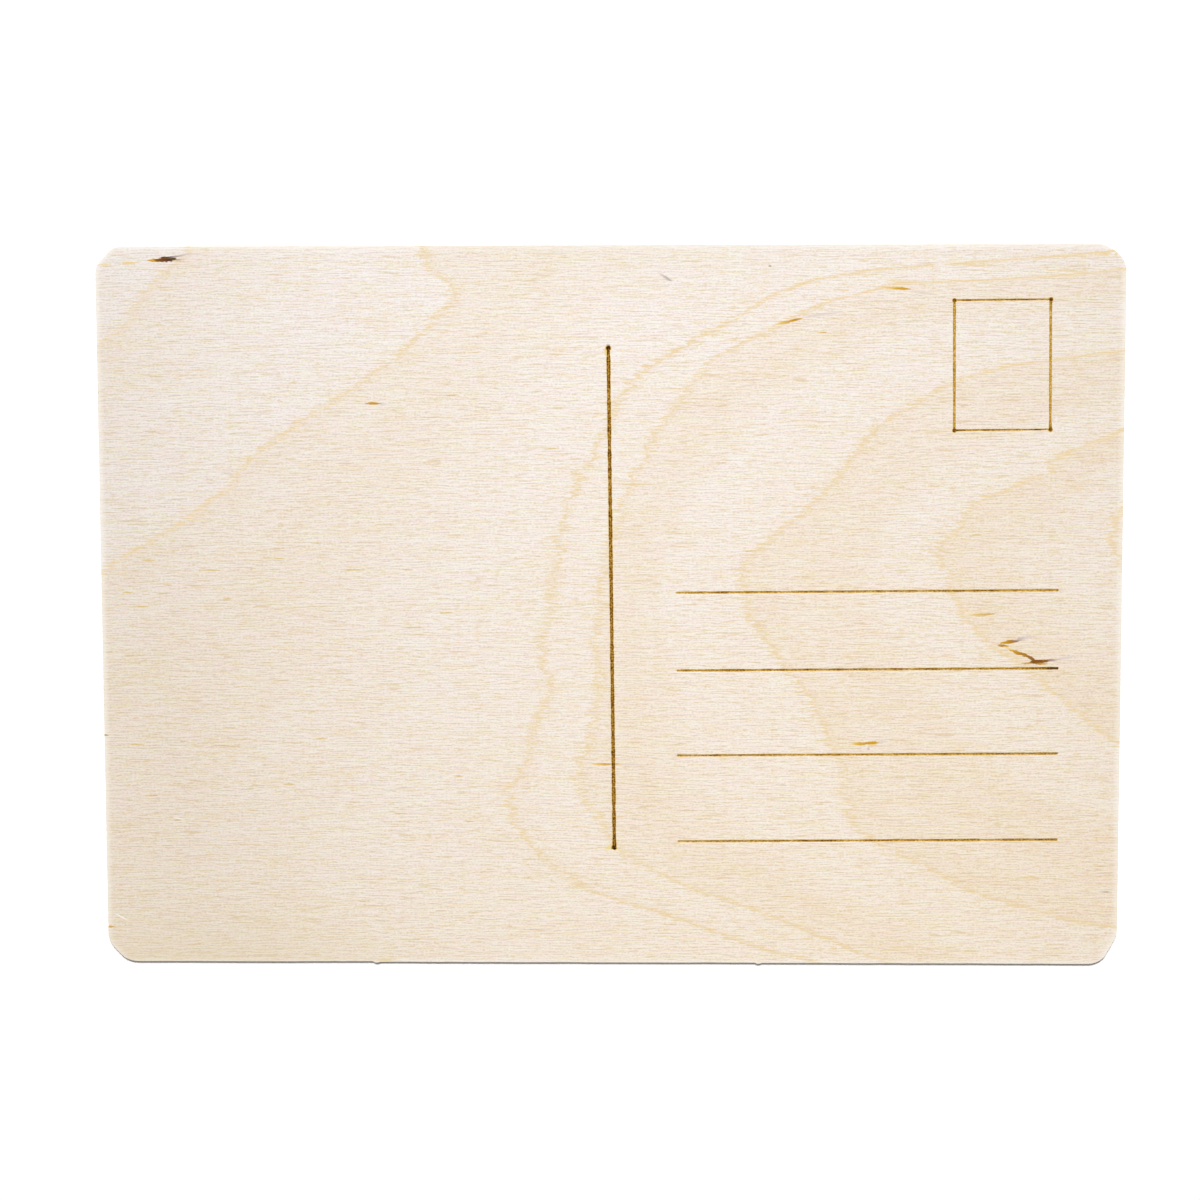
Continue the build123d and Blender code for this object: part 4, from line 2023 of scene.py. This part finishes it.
@dataclass(frozen=True)
class Studio:
    """The floor, the light and the camera that the card is photographed with.

    Attributes:
        aim: The middle of the card's face, which the camera was solved from.
        pitch: The camera's tilt about X, in radians.
        yaw: Its tilt about Y.
        offset: Where the face's middle lies in front of the camera.
        lens: The focal length.
        sensor: The width of the sensor behind it.
        key_share: How much of the light on the face comes from the softbox.
        fill_share: How much comes from all round.
        key_tilt: How far the softbox leans towards the card's upper edge, in degrees.
        key_distance: Its distance in metres.
        key_size: Its side in metres.
        floor_size: The floor's side in metres.
        floor_drop: How far under the card it lies, in metres.
        floor_shade: How pale it is to the light.
        floor_seen: How pale it is where it is seen, so that it burns out to white.
        near: Where the camera's view starts, in metres.
    """

    aim: Point3 = (0.0, 0.0, 1.0)
    pitch: float = 0.1103
    yaw: float = -0.0274
    offset: Point3 = (1.394, -1.288, -474.21)
    lens: float = 98.106
    sensor: float = 36.0
    key_share: float = 0.87
    fill_share: float = 0.18
    key_tilt: float = 26.0
    key_distance: float = 2.6
    key_size: float = 0.36
    floor_size: float = 6.0
    floor_drop: float = 0.00002
    floor_shade: float = 0.86
    floor_seen: float = 1.02
    near: float = 0.01

    def set_camera(self) -> None:
        """Sets up the camera at the photograph's viewing angle."""
        turn = Matrix.Rotation(self.yaw, 3, "Y") @ Matrix.Rotation(self.pitch, 3, "X")
        stand = (Vector(self.aim) - turn.transposed() @ Vector(self.offset)) * MM
        data = bpy.data.cameras.new("camera")
        data.lens = self.lens
        data.sensor_width = self.sensor
        data.clip_start = self.near
        camera = bpy.data.objects.new("camera", data)
        camera.matrix_world = Matrix.Translation(stand) @ turn.transposed().to_4x4()
        bpy.context.scene.collection.objects.link(camera)
        bpy.context.scene.camera = camera

    def set_light(self) -> None:
        """Hangs the softbox above the card's upper edge, and sets the light from all round."""
        tilt = math.radians(self.key_tilt)
        data = bpy.data.lights.new("softbox", "AREA")
        data.shape = "SQUARE"
        data.size = self.key_size
        data.energy = math.pi**2 * self.key_share * self.key_distance**2 / math.cos(tilt)
        lamp = bpy.data.objects.new("softbox", data)
        lamp.location = Vector((0.0, math.sin(tilt), math.cos(tilt))) * self.key_distance
        lamp.rotation_euler = Euler((-tilt, 0.0, 0.0))
        bpy.context.scene.collection.objects.link(lamp)

        world = bpy.data.worlds.new("studio")
        world.use_nodes = True
        bpy.context.scene.world = world
        board = NodeBoard(world.node_tree)
        strength = board.scaled(board.seen(), self.fill_share, 1.0)
        background = world.node_tree.nodes["Background"]
        background.inputs["Color"].default_value = (1.0, 1.0, 1.0, 1.0)
        board.feed(background.inputs["Strength"], strength)

    def lay_floor(self) -> None:
        """Lays the pale floor just under the card."""
        half = self.floor_size / 2
        corners = [(-half, -half, 0), (half, -half, 0), (half, half, 0), (-half, half, 0)]
        mesh = bpy.data.meshes.new("floor")
        mesh.from_pydata(corners, [], [(0, 1, 2, 3)])
        floor = bpy.data.objects.new("floor", mesh)
        floor.location.z = -self.floor_drop
        bpy.context.scene.collection.objects.link(floor)
        floor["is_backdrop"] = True
        material = bpy.data.materials.new("pale_floor")
        material.use_nodes = True
        board = NodeBoard(material.node_tree)
        tone = board.mixed(board.seen(), (self.floor_shade,) * 3, (self.floor_seen,) * 3)
        matt = board.place("ShaderNodeBsdfDiffuse", {"Color": tone})
        material.node_tree.links.new(matt.outputs[0], material.node_tree.nodes["Material Output"].inputs[0])
        mesh.materials.append(material)


@dataclass
class Postcard:
    """The whole card, built layer by layer from the back up."""

    outline: CardOutline
    layout: ScoredLayout
    edge: Fray = Fray(chips=(Chip(-34.8, 0.09, 9.0, 0.65), Chip(21.3, 0.03, 8.0, 0.9)))
    glue_edge: Fray = Fray(end_break=0.10, side_break=0.10, least=0.05)

    def layers(self) -> list[Layer]:
        """Lists the layers.

        Returns:
            The layers from the back up.
        """
        along, across = Fibres.ALONG, Fibres.ACROSS
        rows = (
            ("back_sheet", "back_veneer", "birch_back", "back", Fray(), along, Shows.BACK, 71),
            ("back_glue", "back_glue_film", "glue_line", "glue", self.glue_edge, along, Shows.EDGE, 75),
            ("core_sheet", "core_veneer", "birch_core", "core", Fray(), across, Shows.EDGE, 79),
            ("face_glue", "face_glue_film", "glue_line", "glue", self.glue_edge, along, Shows.EDGE, 83),
            ("face_sheet", "face_veneer", "birch_face", "face", self.edge, along, Shows.FACE, 87),
        )
        figures = {Shows.BACK: BACK_RINGS, Shows.FACE: FACE_RINGS}
        found = []
        for name, node, slot, finish, fray, fibres, shows, seed in rows:
            layout = self.layout if shows is Shows.FACE else None
            layer = Layer(name, node, slot, finish, self.outline, fray, fibres, shows, seed)
            found.append(replace(layer, figure=figures.get(shows), layout=layout))
        return found

    def finishes(self) -> dict[str, bpy.types.Material]:
        """Makes the card's materials.

        Returns:
            The materials by the names of their finishes.
        """
        kit = EffectKit(FibreGrain().build(), RingLook().build(), SpindleMask().build())
        return {
            "face": BirchFinish("birch_face", flecks=FACE_FLECKS, scored=True).make(kit),
            "core": BirchFinish(
                "birch_core", pale=(0.86, 0.72, 0.55), tan=(0.58, 0.42, 0.26),
                turn=90.0, shift=(13.0, 57.0, 3.0), ringed=False,
            ).make(kit),
            "back": BirchFinish("birch_back", flecks=BACK_FLECKS, shift=(211.0, 93.0, 17.0)).make(kit),
            "glue": GlueFinish().make(),
        }

    def build(self) -> None:
        """Builds and dresses every layer."""
        finishes = self.finishes()
        for layer in self.layers():
            item = layer.build()
            layer.dress(item, finishes[layer.finish])
            LOG.info("%s: %d faces, %s", item.name, len(item.data.polygons), layer.finish)


def main() -> None:
    """Builds the card and its studio."""
    logging.basicConfig(level=logging.INFO, format="%(message)s")
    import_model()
    cad_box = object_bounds()
    bpy.context.scene.view_settings.view_transform = "Standard"
    low, high = cad_box
    half_length, half_height = (high[0] - low[0]) / 2 / MM, (high[1] - low[1]) / 2 / MM
    studio = Studio()
    studio.set_camera()
    studio.set_light()
    studio.lay_floor()
    Postcard(CardOutline(half_length, half_height), ScoredLayout(half_length, half_height)).build()
    LOG.info("size written")


if __name__ == "__main__":
    main()
